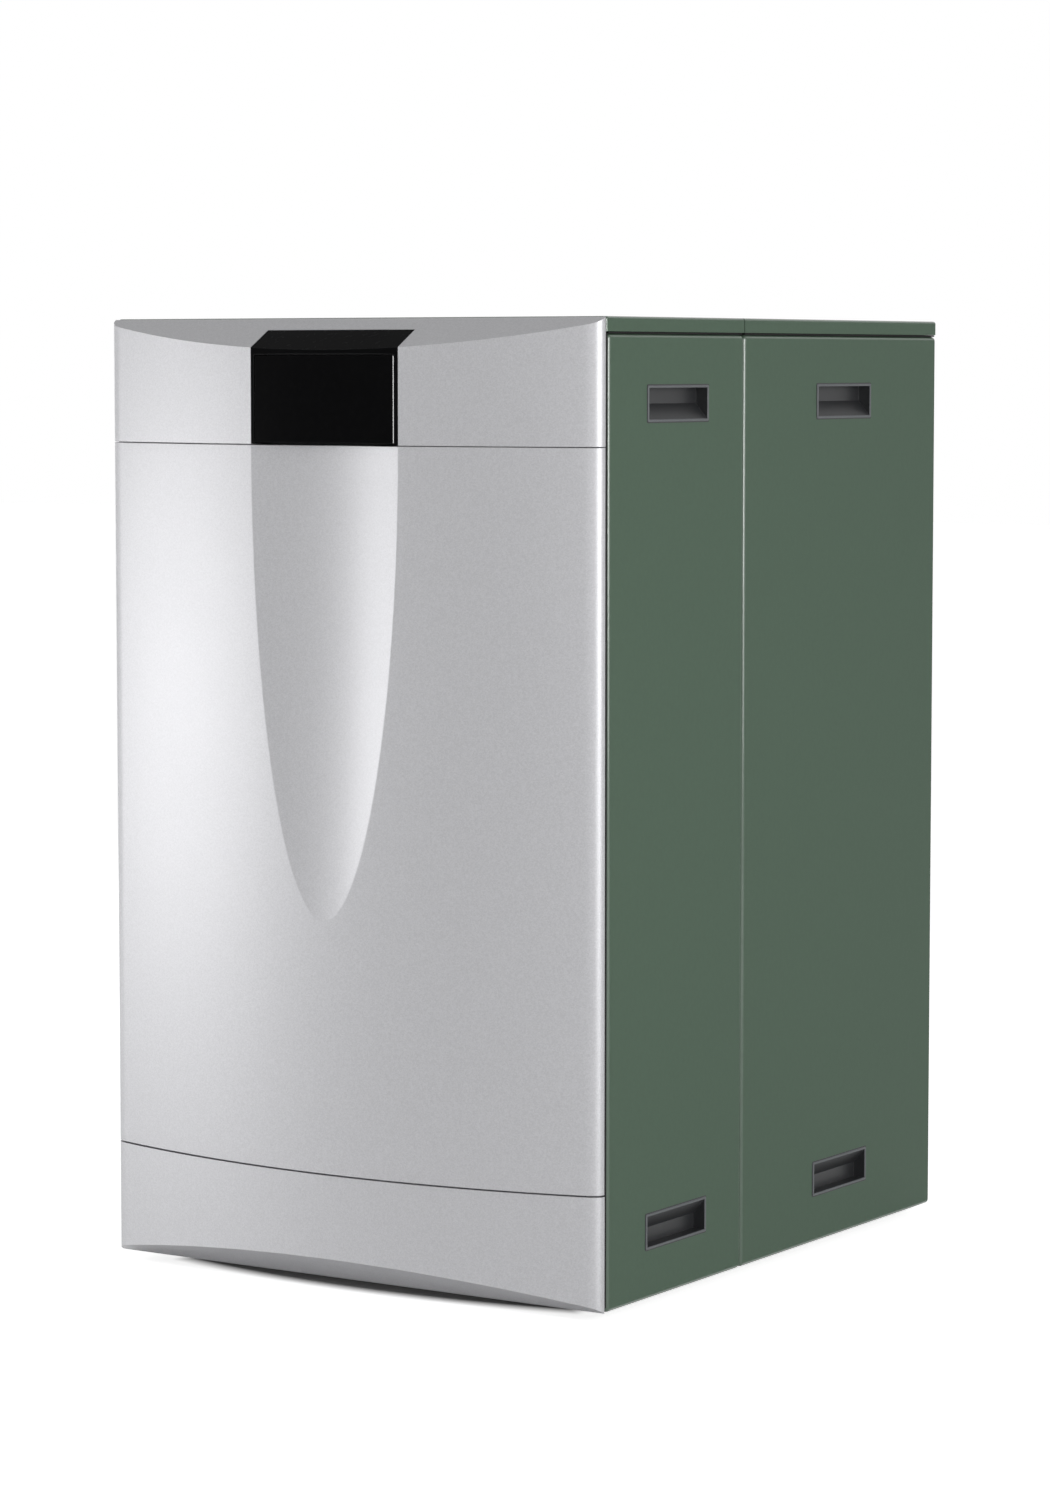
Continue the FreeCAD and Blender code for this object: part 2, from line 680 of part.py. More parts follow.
def pocket_handle(y, z, slope):
    """Plastic finger pocket with a thin rim; the sloping wall is below (+1) or above (-1)."""
    rim = rounded_box(HALF_W, HALF_W + HANDLE_PROUD, y - HANDLE_L / 2, y + HANDLE_L / 2,
                      z - HANDLE_H / 2, z + HANDLE_H / 2, HANDLE_CORNER_R)
    half_l = HANDLE_IN_L + HANDLE_WALL
    half_h = HANDLE_IN_H + HANDLE_WALL
    back = HALF_W - HANDLE_DEPTH
    cup = block(back, HALF_W, y - half_l, y + half_l, z - half_h, z + half_h)
    hollow = block(back + HANDLE_WALL, HALF_W + HANDLE_PROUD, y - HANDLE_IN_L, y + HANDLE_IN_L,
                   z - HANDLE_IN_H, z + HANDLE_IN_H)
    foot = z - slope * HANDLE_IN_H
    wedge = prism([
        vec(HALF_W, y - HANDLE_IN_L, foot),
        vec(back + HANDLE_WALL, y - HANDLE_IN_L, foot),
        vec(back + HANDLE_WALL, y - HANDLE_IN_L, z),
    ], Y_AXIS * (2 * HANDLE_IN_L))
    return fuse([fuse([rim, cup]).cut(hollow), wedge])


def handle_pair(y_range):
    """The two pocket handles of one right-hand side panel."""
    y = (y_range[0] + y_range[1]) / 2
    low = pocket_handle(y, HANDLE_LOW_Z, -1)
    high = pocket_handle(y, HANDLE_HIGH_Z, 1)
    return Part.makeCompound(low.Solids + high.Solids)


def lid(y0, y1, flange_front, flange_rear):
    """Top sheet with a folded flange on its three outer sides."""
    low = Z_TOP - LID_FLANGE
    tray = block(-HALF_W, HALF_W, y0, y1, low, Z_TOP)
    bent = []
    for e in tray.Edges:
        box = e.BoundBox
        on_top = box.ZMin > Z_TOP - 0.1
        on_side = abs(box.XMax - box.XMin) < 0.1
        on_end = (flange_front and box.YMax < y0 + 0.1) or (flange_rear and box.YMin > y1 - 0.1)
        if on_top and (on_side or on_end):
            bent.append(e)
    tray = tray.makeFillet(BEND_R, bent)
    in0 = y0 + SHEET if flange_front else y0
    in1 = y1 - SHEET if flange_rear else y1
    return tray.cut(block(-HALF_W + SHEET, HALF_W - SHEET, in0, in1, low, Z_TOP - SHEET))


def front_lid():
    return lid(LID_FRONT_GAP, FRONT_SECTION - SECTION_GAP / 2, True, False)


def rear_lid():
    return lid(FRONT_SECTION + SECTION_GAP / 2, CAB_D, False, True)


REAR_FRAME_Y = CAB_D - 2 * SHEET
FRONT_HEADER_Y = LID_FRONT_GAP + 2 * SHEET
MID_PORTAL_Y = FRONT_SECTION - TUBE / 2
REAR_PORTAL_Y = REAR_FRAME_Y - TUBE
LUG_TOP = PANEL_TOP - SHEET


def upright(y0, z0, z1):
    """Square tube standing at the right-hand side."""
    inner_x = FRAME_X - TUBE
    w = TUBE_WALL
    post = block(inner_x, FRAME_X, y0, y0 + TUBE, z0, z1)
    return post.cut(block(inner_x + w, FRAME_X - w, y0 + w, y0 + TUBE - w, z0, z1))


def header(y0, y1):
    """Rectangular tube across the cabinet under the lids."""
    w = TUBE_WALL
    low = FRAME_TOP - HEADER_H
    bar = block(-FRAME_X, FRAME_X, y0, y1, low, FRAME_TOP)
    return bar.cut(block(w - FRAME_X, FRAME_X - w, y0 + w, y1 - w, low + w, FRAME_TOP - w))


def portal(y0, head_y0, lug_ys):
    """Two posts and a header welded into one frame, with lugs that carry the side panels."""
    post = upright(y0, BASE_TOP, FRAME_TOP - HEADER_H)
    parts = [header(head_y0, y0 + TUBE), post, mirrored(post)]
    for y in lug_ys:
        lug = block(FRAME_X - TUBE_WALL, FRAME_X + LUG_L, y, y + LUG_W, LUG_TOP - TUBE_WALL, LUG_TOP)
        parts.append(lug)
        parts.append(mirrored(lug))
    return fuse(parts)


def portal_frames():
    """Front, middle and rear portal."""
    inset = 2 * SHEET
    front = portal(0.0, FRONT_HEADER_Y, [FRONT_PANEL_Y[0] + inset])
    middle = portal(MID_PORTAL_Y, MID_PORTAL_Y, [FRONT_PANEL_Y[1] - inset - LUG_W, REAR_PANEL_Y[0] + inset])
    rear = portal(REAR_PORTAL_Y, REAR_PORTAL_Y, [REAR_FRAME_Y - inset - LUG_W])
    return Part.makeCompound(front.Solids + middle.Solids + rear.Solids)


def rail(x0, x1, y0, y1):
    """Base rail: a channel that is open below."""
    w = TUBE_WALL
    bar = block(x0, x1, y0, y1, BASE_Z, BASE_TOP)
    return bar.cut(block(x0 + w, x1 - w, y0 + w, y1 - w, BASE_Z, BASE_TOP - w))


FOOT_X = HALF_W - FOOT_IN_X
FOOT_YS = [FOOT_IN_Y, CAB_D - FOOT_IN_Y]


def base_frame():
    """Welded ring of rails with cross rails under the boiler and a threaded boss for each foot."""
    x = FRAME_X
    parts = [rail(-x, x, 0, TUBE), rail(-x, x, REAR_PORTAL_Y, REAR_FRAME_Y)]
    for side_x in (-x, x - TUBE):
        parts.append(rail(side_x, side_x + TUBE, TUBE, REAR_PORTAL_Y))
    for y in (TRAP_Y, DRUM_Y, 2 * DRUM_Y - TRAP_Y):
        parts.append(rail(TUBE - x, x - TUBE, y - TUBE / 2, y + TUBE / 2))
    for y in FOOT_YS:
        for side in (-1, 1):
            inner = side * (FOOT_X - FOOT_PAD_R)
            outer = side * (x - TUBE)
            low = min(inner, outer)
            high = max(inner, outer)
            end_y = TUBE if y < DRUM_Y else REAR_PORTAL_Y
            y0 = min(end_y, y - FOOT_PAD_R)
            y1 = max(end_y, y + FOOT_PAD_R)
            parts.append(block(low, high, y0, y1, BASE_Z, BASE_Z + GUSSET_T))
            parts.append(rod(vec(side * FOOT_X, y, BASE_Z), Z_AXIS, FOOT_BOSS_R, BASE_H - GUSSET_T))
    frame = fuse(parts)
    for y in FOOT_YS:
        for side in (-1, 1):
            frame = frame.cut(rod(vec(side * FOOT_X, y, BASE_Z), Z_AXIS, FOOT_STUD_R + TURN_GAP, BASE_H))
    return frame


def levelling_foot(x, y):
    """Round pad with a bevelled edge, hexagonal collar and threaded stud."""
    bevel = FOOT_PAD_EDGE
    top = BASE_TOP - GUSSET_T
    pad = spun([
        (0, 0), (FOOT_PAD_R, 0), (FOOT_PAD_R, FOOT_PAD_H - bevel), (FOOT_PAD_R - bevel, FOOT_PAD_H),
        (FOOT_STUD_R, FOOT_PAD_H), (FOOT_STUD_R, top), (0, top),
    ], vec(x, y, 0), Z_AXIS)
    return fuse([pad, hexagon(vec(x, y, FOOT_PAD_H), Z_AXIS, 3 * FOOT_STUD_R, FOOT_PAD_H)])


SUPPLY_Z = DRUM_TOP - SUPPLY_DOWN
RETURN_Z = DRUM_Z + RETURN_UP
FLUE_Z = SUMP_Z + SUMP_H / 2
TRAP_DRAIN_Z = BASE_TOP + TRAP_H * 0.8
GAS_Z = PLATE_TOP + VALVE_ABOVE_PLATE + VALVE_H / 2
SOCKET_R = FLUE_BORE_R + FLUE_WALL
DUCT_X = -(FAN_W / 2 + MIXER_L + DUCT_BEND + DUCT_STRAIGHT)


def rear_panel():
    """Back sheet with a clearance hole for every connection."""
    half = FRAME_X - HOLE_GAP
    sheet = block(-half, half, REAR_FRAME_Y, REAR_FRAME_Y + SHEET, BASE_Z, PANEL_TOP)
    holes = [
        (WATER_X, SUPPLY_Z, WATER_R),
        (WATER_X, RETURN_Z, WATER_R),
        (0.0, FLUE_Z, SOCKET_R),
        (DUCT_X, FAN_Z, SOCKET_R),
        (GAS_X, GAS_Z, GAS_PIPE_R),
        (TRAP_X, TRAP_DRAIN_Z, DRAIN_R),
    ]
    for x, z, radius in holes:
        sheet = sheet.cut(rod(vec(x, REAR_FRAME_Y, z), Y_AXIS, radius + HOLE_GAP, SHEET))
    return sheet


def ring_places(radius, count, start):
    """Points round the drum's axis at equal angles."""
    places = []
    for i in range(count):
        turn = math.radians(start + 360.0 * i / count)
        places.append((radius * math.cos(turn), DRUM_Y + radius * math.sin(turn)))
    return places


def heat_exchanger():
    """Welded drum: shell, combustion chamber from the top, smoke tubes down to the lower tube plate."""
    w = DRUM_WALL
    axis = vec(0, DRUM_Y, DRUM_Z)
    crown = DRUM_H - CHAMBER_H
    drum = spun([
        (0, 0), (DRUM_R, 0), (DRUM_R, DRUM_H), (CHAMBER_R - w, DRUM_H), (CHAMBER_R - w, crown), (0, crown),
    ], axis, Z_AXIS)
    water = spun([
        (0, w), (DRUM_R - w, w), (DRUM_R - w, DRUM_H - w), (CHAMBER_R, DRUM_H - w), (CHAMBER_R, crown - w),
        (0, crown - w),
    ], axis, Z_AXIS)
    drum = drum.cut(water)
    tubes = []
    bores = []
    for x, y in ring_places(SMOKE_RING_R, SMOKE_COUNT, 0.0):
        tubes.append(rod(vec(x, y, DRUM_Z), Z_AXIS, SMOKE_TUBE_R, crown))
        bores.append(rod(vec(x, y, DRUM_Z), Z_AXIS, SMOKE_TUBE_R - SMOKE_TUBE_WALL, crown))
    drum = drum.multiFuse(tubes).cut(Part.makeCompound(bores))
    for z in (SUPPLY_Z, RETURN_Z):
        drum = drum.cut(rod(vec(WATER_X, DRUM_Y, z), Y_AXIS, WATER_R, DRUM_R).cut(
            rod(vec(0, DRUM_Y, z - WATER_R), Z_AXIS, DRUM_R - 2 * w, 2 * WATER_R)))
    return drum.cut(drain_bore(TAP_R))


TAP_X = TAP_INSET - DRUM_R
TAP_Z = DRUM_Z + TAP_UP


def wall_y(x, radius):
    """Depth from the drum's axis to a round wall at a sideways distance."""
    return math.sqrt(radius ** 2 - x ** 2)


def drain_bore(radius):
    """Straight way through the front of the drum's shell for the drain tap."""
    back = DRUM_Y - wall_y(TAP_X, DRUM_R - 2 * DRUM_WALL)
    front = DRUM_Y - wall_y(TAP_X, DRUM_R + 2 * JACKET_T)
    return rod(vec(TAP_X, front, TAP_Z), Y_AXIS, radius, back - front)


def insulation_jacket():
    """Felt sleeve round the drum with holes for its pipes."""
    inner = DRUM_R + JACKET_GAP
    sleeve = tube(vec(0, DRUM_Y, DRUM_Z), Z_AXIS, inner + JACKET_T, JACKET_T, DRUM_H - DRUM_WALL)
    for z in (SUPPLY_Z, RETURN_Z):
        sleeve = sleeve.cut(rod(vec(WATER_X, DRUM_Y, z), Y_AXIS, WATER_R + HOLE_GAP, 2 * DRUM_R))
    return sleeve.cut(drain_bore(TAP_R + HOLE_GAP))


TRAP_DIST = math.hypot(TRAP_X, TRAP_Y - DRUM_Y)
TRAP_DIR = vec(TRAP_X / TRAP_DIST, (TRAP_Y - DRUM_Y) / TRAP_DIST, 0)
NIPPLE_Z = SUMP_Z + 3 * DRAIN_R
NIPPLE_START = vec(0, DRUM_Y, NIPPLE_Z) + TRAP_DIR * (DRUM_R - 3 * SUMP_WALL)
NIPPLE_L = TRAP_DIST - DRUM_R + 3 * SUMP_WALL - TRAP_R + 3 * DRAIN_WALL
FLUE_START = DRUM_Y + DRUM_R - FLUE_IN
FLUE_R = FLUE_BORE_R - FLUE_WALL


def condensate_sump():
    """Pan under the drum that gathers flue gas and condensate."""
    w = SUMP_WALL
    pan = spun([(0, 0), (DRUM_R, 0), (DRUM_R, SUMP_H), (DRUM_R - w, SUMP_H), (DRUM_R - w, w), (0, w)],
               vec(0, DRUM_Y, SUMP_Z), Z_AXIS)
    pan = pan.cut(rod(vec(0, DRUM_Y, FLUE_Z), Y_AXIS, FLUE_R, 2 * DRUM_R))
    return pan.cut(rod(NIPPLE_START, TRAP_DIR, DRAIN_R, NIPPLE_L))


def rear_socket(x, z, pipe_r, wall):
    """Socket behind the cabinet with the shoulder that joins it to a pipe inside."""
    start = vec(x, REAR_Y - FLUE_SOCKET_L, z)
    socket = tube(start, Y_AXIS, SOCKET_R, FLUE_WALL, FLUE_SOCKET_L)
    step = tube(start - Y_AXIS * FLUE_WALL, Y_AXIS, SOCKET_R, SOCKET_R - pipe_r + wall, FLUE_WALL)
    return [socket, step]


def flue_pipe():
    """Flue from the sump to the socket behind the cabinet."""
    length = REAR_Y - FLUE_SOCKET_L - FLUE_START
    pipe = tube(vec(0, FLUE_START, FLUE_Z), Y_AXIS, FLUE_R, FLUE_WALL, length)
    return fuse([pipe] + rear_socket(0, FLUE_Z, FLUE_R, FLUE_WALL))


def turned_end(pipe, x, z, radius, end_r, length):
    """Takes a rear pipe end down to a smaller radius over a length."""
    ring = tube(vec(x, REAR_Y - length, z), Y_AXIS, radius + HOLE_GAP, radius + HOLE_GAP - end_r, length)
    return pipe.cut(ring)


def water_pipe(z):
    """Straight steel pipe from the drum's shell to its threaded end behind the cabinet."""
    start = DRUM_Y + wall_y(WATER_X, DRUM_R - DRUM_WALL / 2)
    pipe = tube(vec(WATER_X, start, z), Y_AXIS, WATER_R, WATER_WALL, REAR_Y - start)
    return turned_end(pipe, WATER_X, z, WATER_R, WATER_THREAD_R, WATER_THREAD_L)


def burner_plate():
    """Round cover of the combustion chamber with the mixture inlet and two electrode holes."""
    plate = rod(vec(0, DRUM_Y, DRUM_TOP), Z_AXIS, PLATE_R, PLATE_T)
    plate = plate.cut(rod(vec(0, DRUM_Y, DRUM_TOP), Z_AXIS, BURNER_R - 2 * BURNER_WALL - HOLE_GAP, PLATE_T))
    for x in (-ELECTRODE_X, ELECTRODE_X):
        plate = plate.cut(rod(vec(x, DRUM_Y, DRUM_TOP), Z_AXIS, ELECTRODE_R, PLATE_T))
    return plate


def burner_nuts():
    """Nuts with their stud ends round the burner plate."""
    nuts = []
    for x, y in ring_places(NUT_RING_R, NUT_COUNT, 180.0 / NUT_COUNT):
        nut = hexagon(vec(x, y, PLATE_TOP), Z_AXIS, NUT_AF, NUT_H)
        stud = rod(vec(x, y, PLATE_TOP), Z_AXIS, NUT_AF / 3.2, NUT_H * 1.6)
        nuts.extend(fuse([nut, stud]).Solids)
    return Part.makeCompound(nuts)


def burner_tube():
    """Closed burner tube hanging from the plate by its flange."""
    w = BURNER_WALL
    flange = BURNER_R + BURNER_FLANGE
    return spun([
        (BURNER_R - w, 0), (flange, 0), (flange, -2 * w), (BURNER_R, -2 * w), (BURNER_R, -BURNER_H),
        (0, -BURNER_H), (0, w - BURNER_H), (BURNER_R - w, w - BURNER_H),
    ], vec(0, DRUM_Y, DRUM_TOP), Z_AXIS)


def burner_electrodes():
    """Ignition electrode and flame sensor: ceramic bodies with a pin below."""
    parts = []
    for x in (-ELECTRODE_X, ELECTRODE_X):
        foot = vec(x, DRUM_Y, DRUM_TOP - ELECTRODE_R)
        body = rod(foot, Z_AXIS, ELECTRODE_R, ELECTRODE_R + PLATE_T + ELECTRODE_UP)
        collar = hexagon(vec(x, DRUM_Y, PLATE_TOP), Z_AXIS, 3 * ELECTRODE_R, ELECTRODE_R)
        pin = rod(vec(x, DRUM_Y, DRUM_TOP - ELECTRODE_DOWN), Z_AXIS, ELECTRODE_R / 3, ELECTRODE_DOWN)
        parts.extend(fuse([body, collar, pin]).Solids)
    return Part.makeCompound(parts)


def polar(radius, degrees):
    """Point in the fan's plane, with 0 degrees towards the rear and 90 degrees up."""
    turn = math.radians(degrees)
    return vec(0, FAN_Y + radius * math.cos(turn), FAN_Z + radius * math.sin(turn))


def volute(inset):
    """Spiral that widens from the tongue over the top to the outlet, moved inwards by an inset."""
    half = FAN_W / 2 - inset
    points = []
    for i in range(7):
        points.append(polar(FAN_R - inset - FAN_GROWTH * i / 6, 45.0 * i))
    outlet_y = points[0].y
    tongue_y = outlet_y - FAN_OUTLET + 2 * inset
    foot = [vec(0, tongue_y, PLATE_TOP), vec(0, outlet_y, PLATE_TOP)]
    tongue = vec(0, tongue_y, points[6].z)
    outline = Part.Wire([
        Part.Arc(points[0], points[1], points[2]).toShape(),
        Part.Arc(points[2], points[3], points[4]).toShape(),
        Part.Arc(points[4], points[5], points[6]).toShape(),
        Part.makeLine(points[6], tongue),
        Part.makeLine(tongue, foot[0]),
        Part.makeLine(foot[0], foot[1]),
        Part.makeLine(foot[1], points[0]),
    ])
    spiral = Part.Face(outline).extrude(X_AXIS * (2 * half))
    spiral.translate(X_AXIS * -half)
    return spiral


def fan_housing():
    """Volute on a flanged outlet that stands on the burner plate."""
    w = FAN_WALL
    half = FAN_W / 2
    y1 = FAN_Y + FAN_R
    y0 = y1 - FAN_OUTLET
    wide = 4 * w
    flange = block(-half - wide, half + wide, y0 - wide, y1 + wide, PLATE_TOP, PLATE_TOP + 2 * w)
    housing = fuse([volute(0.0), flange]).cut(volute(w))
    housing = housing.cut(rod(vec(-half, FAN_Y, FAN_Z), X_AXIS, MIXER_R - MIXER_WALL, w))
    return housing.cut(rod(vec(half - w, FAN_Y, FAN_Z), X_AXIS, 2 * SHAFT_R, w))


def impeller_blade(inner_r):
    """Backward-curved blade between the front ring and the back disc."""
    lean = math.degrees(BLADE_T / inner_r)
    ends = []
    for shift in (0.0, lean):
        ends.append([
            polar(inner_r, shift),
            polar((inner_r + IMPELLER_R) / 2, shift - BLADE_SWEEP * 0.35),
            polar(IMPELLER_R, shift - BLADE_SWEEP),
        ])
    near, far = ends
    outline = Part.Wire([
        Part.Arc(near[0], near[1], near[2]).toShape(),
        Part.makeLine(near[2], far[2]),
        Part.Arc(far[2], far[1], far[0]).toShape(),
        Part.makeLine(far[0], near[0]),
    ])
    blade = Part.Face(outline).extrude(X_AXIS * IMPELLER_W)
    blade.translate(X_AXIS * (-IMPELLER_W / 2))
    return blade


def fan_impeller():
    """Centrifugal wheel: back disc, front ring, curved blades, hub and shaft."""
    right = IMPELLER_W / 2
    t = BLADE_T
    eye = IMPELLER_R * 0.55
    base = vec(right - t, FAN_Y, FAN_Z)
    parts = [
        rod(base, X_AXIS, IMPELLER_R, t),
        rod(base - X_AXIS * (IMPELLER_W / 3), X_AXIS, 3 * SHAFT_R, IMPELLER_W / 3),
        rod(base, X_AXIS, SHAFT_R, FAN_W / 2 - right + t + MOTOR_L / 2),
        tube(vec(-right, FAN_Y, FAN_Z), X_AXIS, IMPELLER_R, IMPELLER_R - eye, t),
    ]
    for i in range(BLADE_COUNT):
        blade = impeller_blade(eye * 0.9)
        blade.rotate(vec(0, FAN_Y, FAN_Z), X_AXIS, 360.0 * i / BLADE_COUNT)
        parts.append(blade)
    return fuse(parts)


def fan_motor():
    """Motor can with a bevelled end and a blind hole for the shaft."""
    hole_r = SHAFT_R + TURN_GAP
    hole_l = MOTOR_L / 2 + SHAFT_END_GAP
    return spun([
        (hole_r, 0), (MOTOR_R, 0), (MOTOR_R, MOTOR_L - MOTOR_EDGE), (MOTOR_R - MOTOR_EDGE, MOTOR_L),
        (0, MOTOR_L), (0, hole_l), (hole_r, hole_l),
    ], vec(FAN_W / 2, FAN_Y, FAN_Z), X_AXIS)


def mixer_outline(wall):
    """Venturi profile as radius and distance from the fan, for the outside or the inside."""
    wide = MIXER_R - wall
    throat = MIXER_THROAT_R + MIXER_WALL - wall
    return [
        (wide, 0), (wide, MIXER_L * 0.1), (throat, MIXER_L * 0.45),
        (throat, MIXER_L * 0.6), (wide, MIXER_L * 0.9), (wide, MIXER_L),
    ]


MIXER_BASE = vec(-FAN_W / 2, FAN_Y, FAN_Z)


def mixer_solid(wall):
    return spun([(0, 0)] + mixer_outline(wall) + [(0, MIXER_L)], MIXER_BASE, X_AXIS * -1)


def gas_air_mixer():
    """Venturi between the air duct and the fan."""
    return mixer_solid(0.0).cut(mixer_solid(MIXER_WALL))


VALVE_X = -(FAN_W / 2 + MIXER_L * 0.525)
VALVE_LOW = GAS_Z - VALVE_H / 2


def gas_valve():
    """Gas valve block with two solenoids and an outlet up to the mixer."""
    half = VALVE_W / 2
    body = block(VALVE_X - half, VALVE_X + half, FAN_Y - half, FAN_Y + half, VALVE_LOW, VALVE_LOW + VALVE_H)
    outlet = rod(vec(VALVE_X, FAN_Y, GAS_Z), Z_AXIS, GAS_PIPE_R, FAN_Z - GAS_Z).cut(mixer_solid(0.0))
    parts = [body, outlet.Solids[0]]
    for side in (-1, 1):
        place = vec(VALVE_X + side * half / 2, FAN_Y - half - VALVE_H / 2, GAS_Z)
        parts.append(rod(place, Y_AXIS, half / 2.4, VALVE_H / 2))
    return fuse(parts)


GAS_START = vec(VALVE_X - VALVE_W / 2, FAN_Y, GAS_Z)
COCK_Y = DRUM_Y + DRUM_R / 2


def gas_pipe():
    """Gas pipe from the valve, round one bend, to its threaded end behind the cabinet."""
    corner = vec(GAS_X, FAN_Y, GAS_Z)
    pipe = bent_pipe(GAS_START, corner, vec(GAS_X, REAR_Y, GAS_Z), GAS_BEND, GAS_PIPE_R, GAS_WALL)
    return turned_end(pipe, GAS_X, GAS_Z, GAS_PIPE_R, GAS_THREAD_R, GAS_THREAD_L)


def cock_body(centre, pipe_r, radius, length):
    """Ball valve body on a pipe along Y, with hexagon ends and a neck for the lever's stem."""
    start = centre - Y_AXIS * (length / 2)
    end_l = length / 4
    parts = [
        rod(start, Y_AXIS, radius, length),
        hexagon(start, Y_AXIS, 2 * radius + COCK_HEX, end_l),
        hexagon(start + Y_AXIS * (length - end_l), Y_AXIS, 2 * radius + COCK_HEX, end_l),
        rod(centre, Z_AXIS, radius * 0.55, radius + COCK_NECK),
    ]
    body = fuse(parts).cut(rod(start, Y_AXIS, pipe_r, length))
    stem_r = radius * 0.3 + TURN_GAP
    return body.cut(rod(centre + Z_AXIS * (pipe_r + HOLE_GAP), Z_AXIS, stem_r, radius + COCK_NECK - pipe_r))


def cock_lever(centre, pipe_r, radius, way):
    """Lever with its stem; it points along Y and swings about Z."""
    low = centre + Z_AXIS * (pipe_r + COCK_STEM_GAP)
    plate_z = centre.z + radius + COCK_NECK + TURN_GAP
    stem = rod(low, Z_AXIS, radius * 0.3, plate_z + LEVER_T - low.z)
    hub = rod(vec(centre.x, centre.y, plate_z), Z_AXIS, LEVER_W / 2 + LEVER_HUB, LEVER_T)
    y0 = min(0.0, way * LEVER_L)
    arm = block(centre.x - LEVER_W / 2, centre.x + LEVER_W / 2, centre.y + y0, centre.y + y0 + LEVER_L,
                plate_z, plate_z + LEVER_T)
    ends = [e for e in arm.Edges if e.BoundBox.ZLength > 1.0 and abs(e.BoundBox.YMin - centre.y) > 1.0]
    return fuse([stem, hub, arm.makeFillet(LEVER_W * 0.45, ends)])


GAS_COCK = vec(GAS_X, COCK_Y, GAS_Z)
TAP_FRONT = DRUM_Y - wall_y(TAP_X, DRUM_R + JACKET_GAP + JACKET_T) - TAP_GAP - TAP_BODY_L
TAP = vec(TAP_X, TAP_FRONT + TAP_BODY_L / 2, TAP_Z)


def drain_valve_body():
    """Boiler drain tap in front of the drum with its pipe and hose tail."""
    pipe_end = DRUM_Y - wall_y(TAP_X, DRUM_R - DRUM_WALL / 2)
    tail = vec(TAP_X, TAP_FRONT - 2 * TAP_R, TAP_Z)
    pipe = tube(tail, Y_AXIS, TAP_R, DRUM_WALL / 2, pipe_end - tail.y)
    return fuse([cock_body(TAP, TAP_R - DRUM_WALL / 4, TAP_BODY_R, TAP_BODY_L), pipe])


def air_duct():
    """Air duct from the mixer, round one bend, to the socket behind the cabinet."""
    start = vec(-(FAN_W / 2 + MIXER_L), FAN_Y, FAN_Z)
    corner = vec(DUCT_X, FAN_Y, FAN_Z)
    end = vec(DUCT_X, REAR_Y - FLUE_SOCKET_L, FAN_Z)
    pipe = bent_pipe(start, corner, end, DUCT_BEND, DUCT_R, DUCT_WALL)
    return fuse([pipe] + rear_socket(DUCT_X, FAN_Z, DUCT_R, DUCT_WALL))


def condensate_trap():
    """Upright trap with a screw cap, standing on the base frame."""
    w = DRAIN_WALL * 2
    top = TRAP_H
    cap = top - TRAP_CAP_H
    cap_r = TRAP_R + TRAP_CAP_OVER
    cup = spun([(0, 0), (TRAP_R, 0), (TRAP_R, cap), (cap_r, cap), (cap_r, top), (0, top),
                (0, top - w), (TRAP_R - w, top - w), (TRAP_R - w, w), (0, w)],
               vec(TRAP_X, TRAP_Y, BASE_TOP), Z_AXIS)
    cup = cup.cut(rod(NIPPLE_START, TRAP_DIR, DRAIN_R, NIPPLE_L))
    return cup.cut(rod(vec(TRAP_X, TRAP_Y, TRAP_DRAIN_Z), Y_AXIS, DRAIN_R, 2 * TRAP_R))


def condensate_drain():
    """Nipple from the sump to the trap, and the drain pipe from the trap to the rear."""
    nipple = tube(NIPPLE_START, TRAP_DIR, DRAIN_R, DRAIN_WALL, NIPPLE_L)
    start = TRAP_Y + wall_y(0.0, TRAP_R - 3 * DRAIN_WALL)
    pipe = tube(vec(TRAP_X, start, TRAP_DRAIN_Z), Y_AXIS, DRAIN_R, DRAIN_WALL, REAR_Y - start)
    pipe = turned_end(pipe, TRAP_X, TRAP_DRAIN_Z, DRAIN_R, SPIGOT_R, SPIGOT_L)
    return Part.makeCompound(nipple.Solids + pipe.Solids)


RIDGE_R = (PLATE_R + DRUM_R) / 2


def air_vent():
    """Automatic air vent on the drum's top ring."""
    r = (DRUM_R - PLATE_R) * 0.3
    low = VENT_NECK + VENT_TAPER
    high = low + VENT_BODY
    tip = high + VENT_TAPER
    return spun([
        (0, 0), (r * 0.6, 0), (r * 0.6, VENT_NECK), (r, low), (r, high), (r * 0.4, tip),
        (r * 0.4, tip + VENT_TIP), (0, tip + VENT_TIP),
    ], vec(0, DRUM_Y + RIDGE_R, DRUM_TOP), Z_AXIS)


def temperature_sensors():
    """Two screwed-in probes on the drum's top ring."""
    parts = []
    for degrees in SENSOR_DEGS:
        x, y = ring_places(RIDGE_R, 1, degrees)[0]
        head = hexagon(vec(x, y, DRUM_TOP), Z_AXIS, NUT_AF, NUT_H)
        plug = rod(vec(x, y, DRUM_TOP), Z_AXIS, NUT_AF / 3, 3 * NUT_H)
        parts.extend(fuse([head, plug]).Solids)
    return Part.makeCompound(parts)


def ignition_transformer():
    """Ignition transformer hung under the middle header."""
    high = FRAME_TOP - HEADER_H
    half = IGNITION_W / 2
    y0 = MID_PORTAL_Y - IGNITION_OVER
    y1 = MID_PORTAL_Y + TUBE + IGNITION_OVER
    box = block(ELECTRODE_X - half, ELECTRODE_X + half, y0, y1, high - IGNITION_H, high)
    edges = [e for e in box.Edges if e.BoundBox.ZLength > 1.0]
    return box.makeFillet(IGNITION_EDGE, edges)


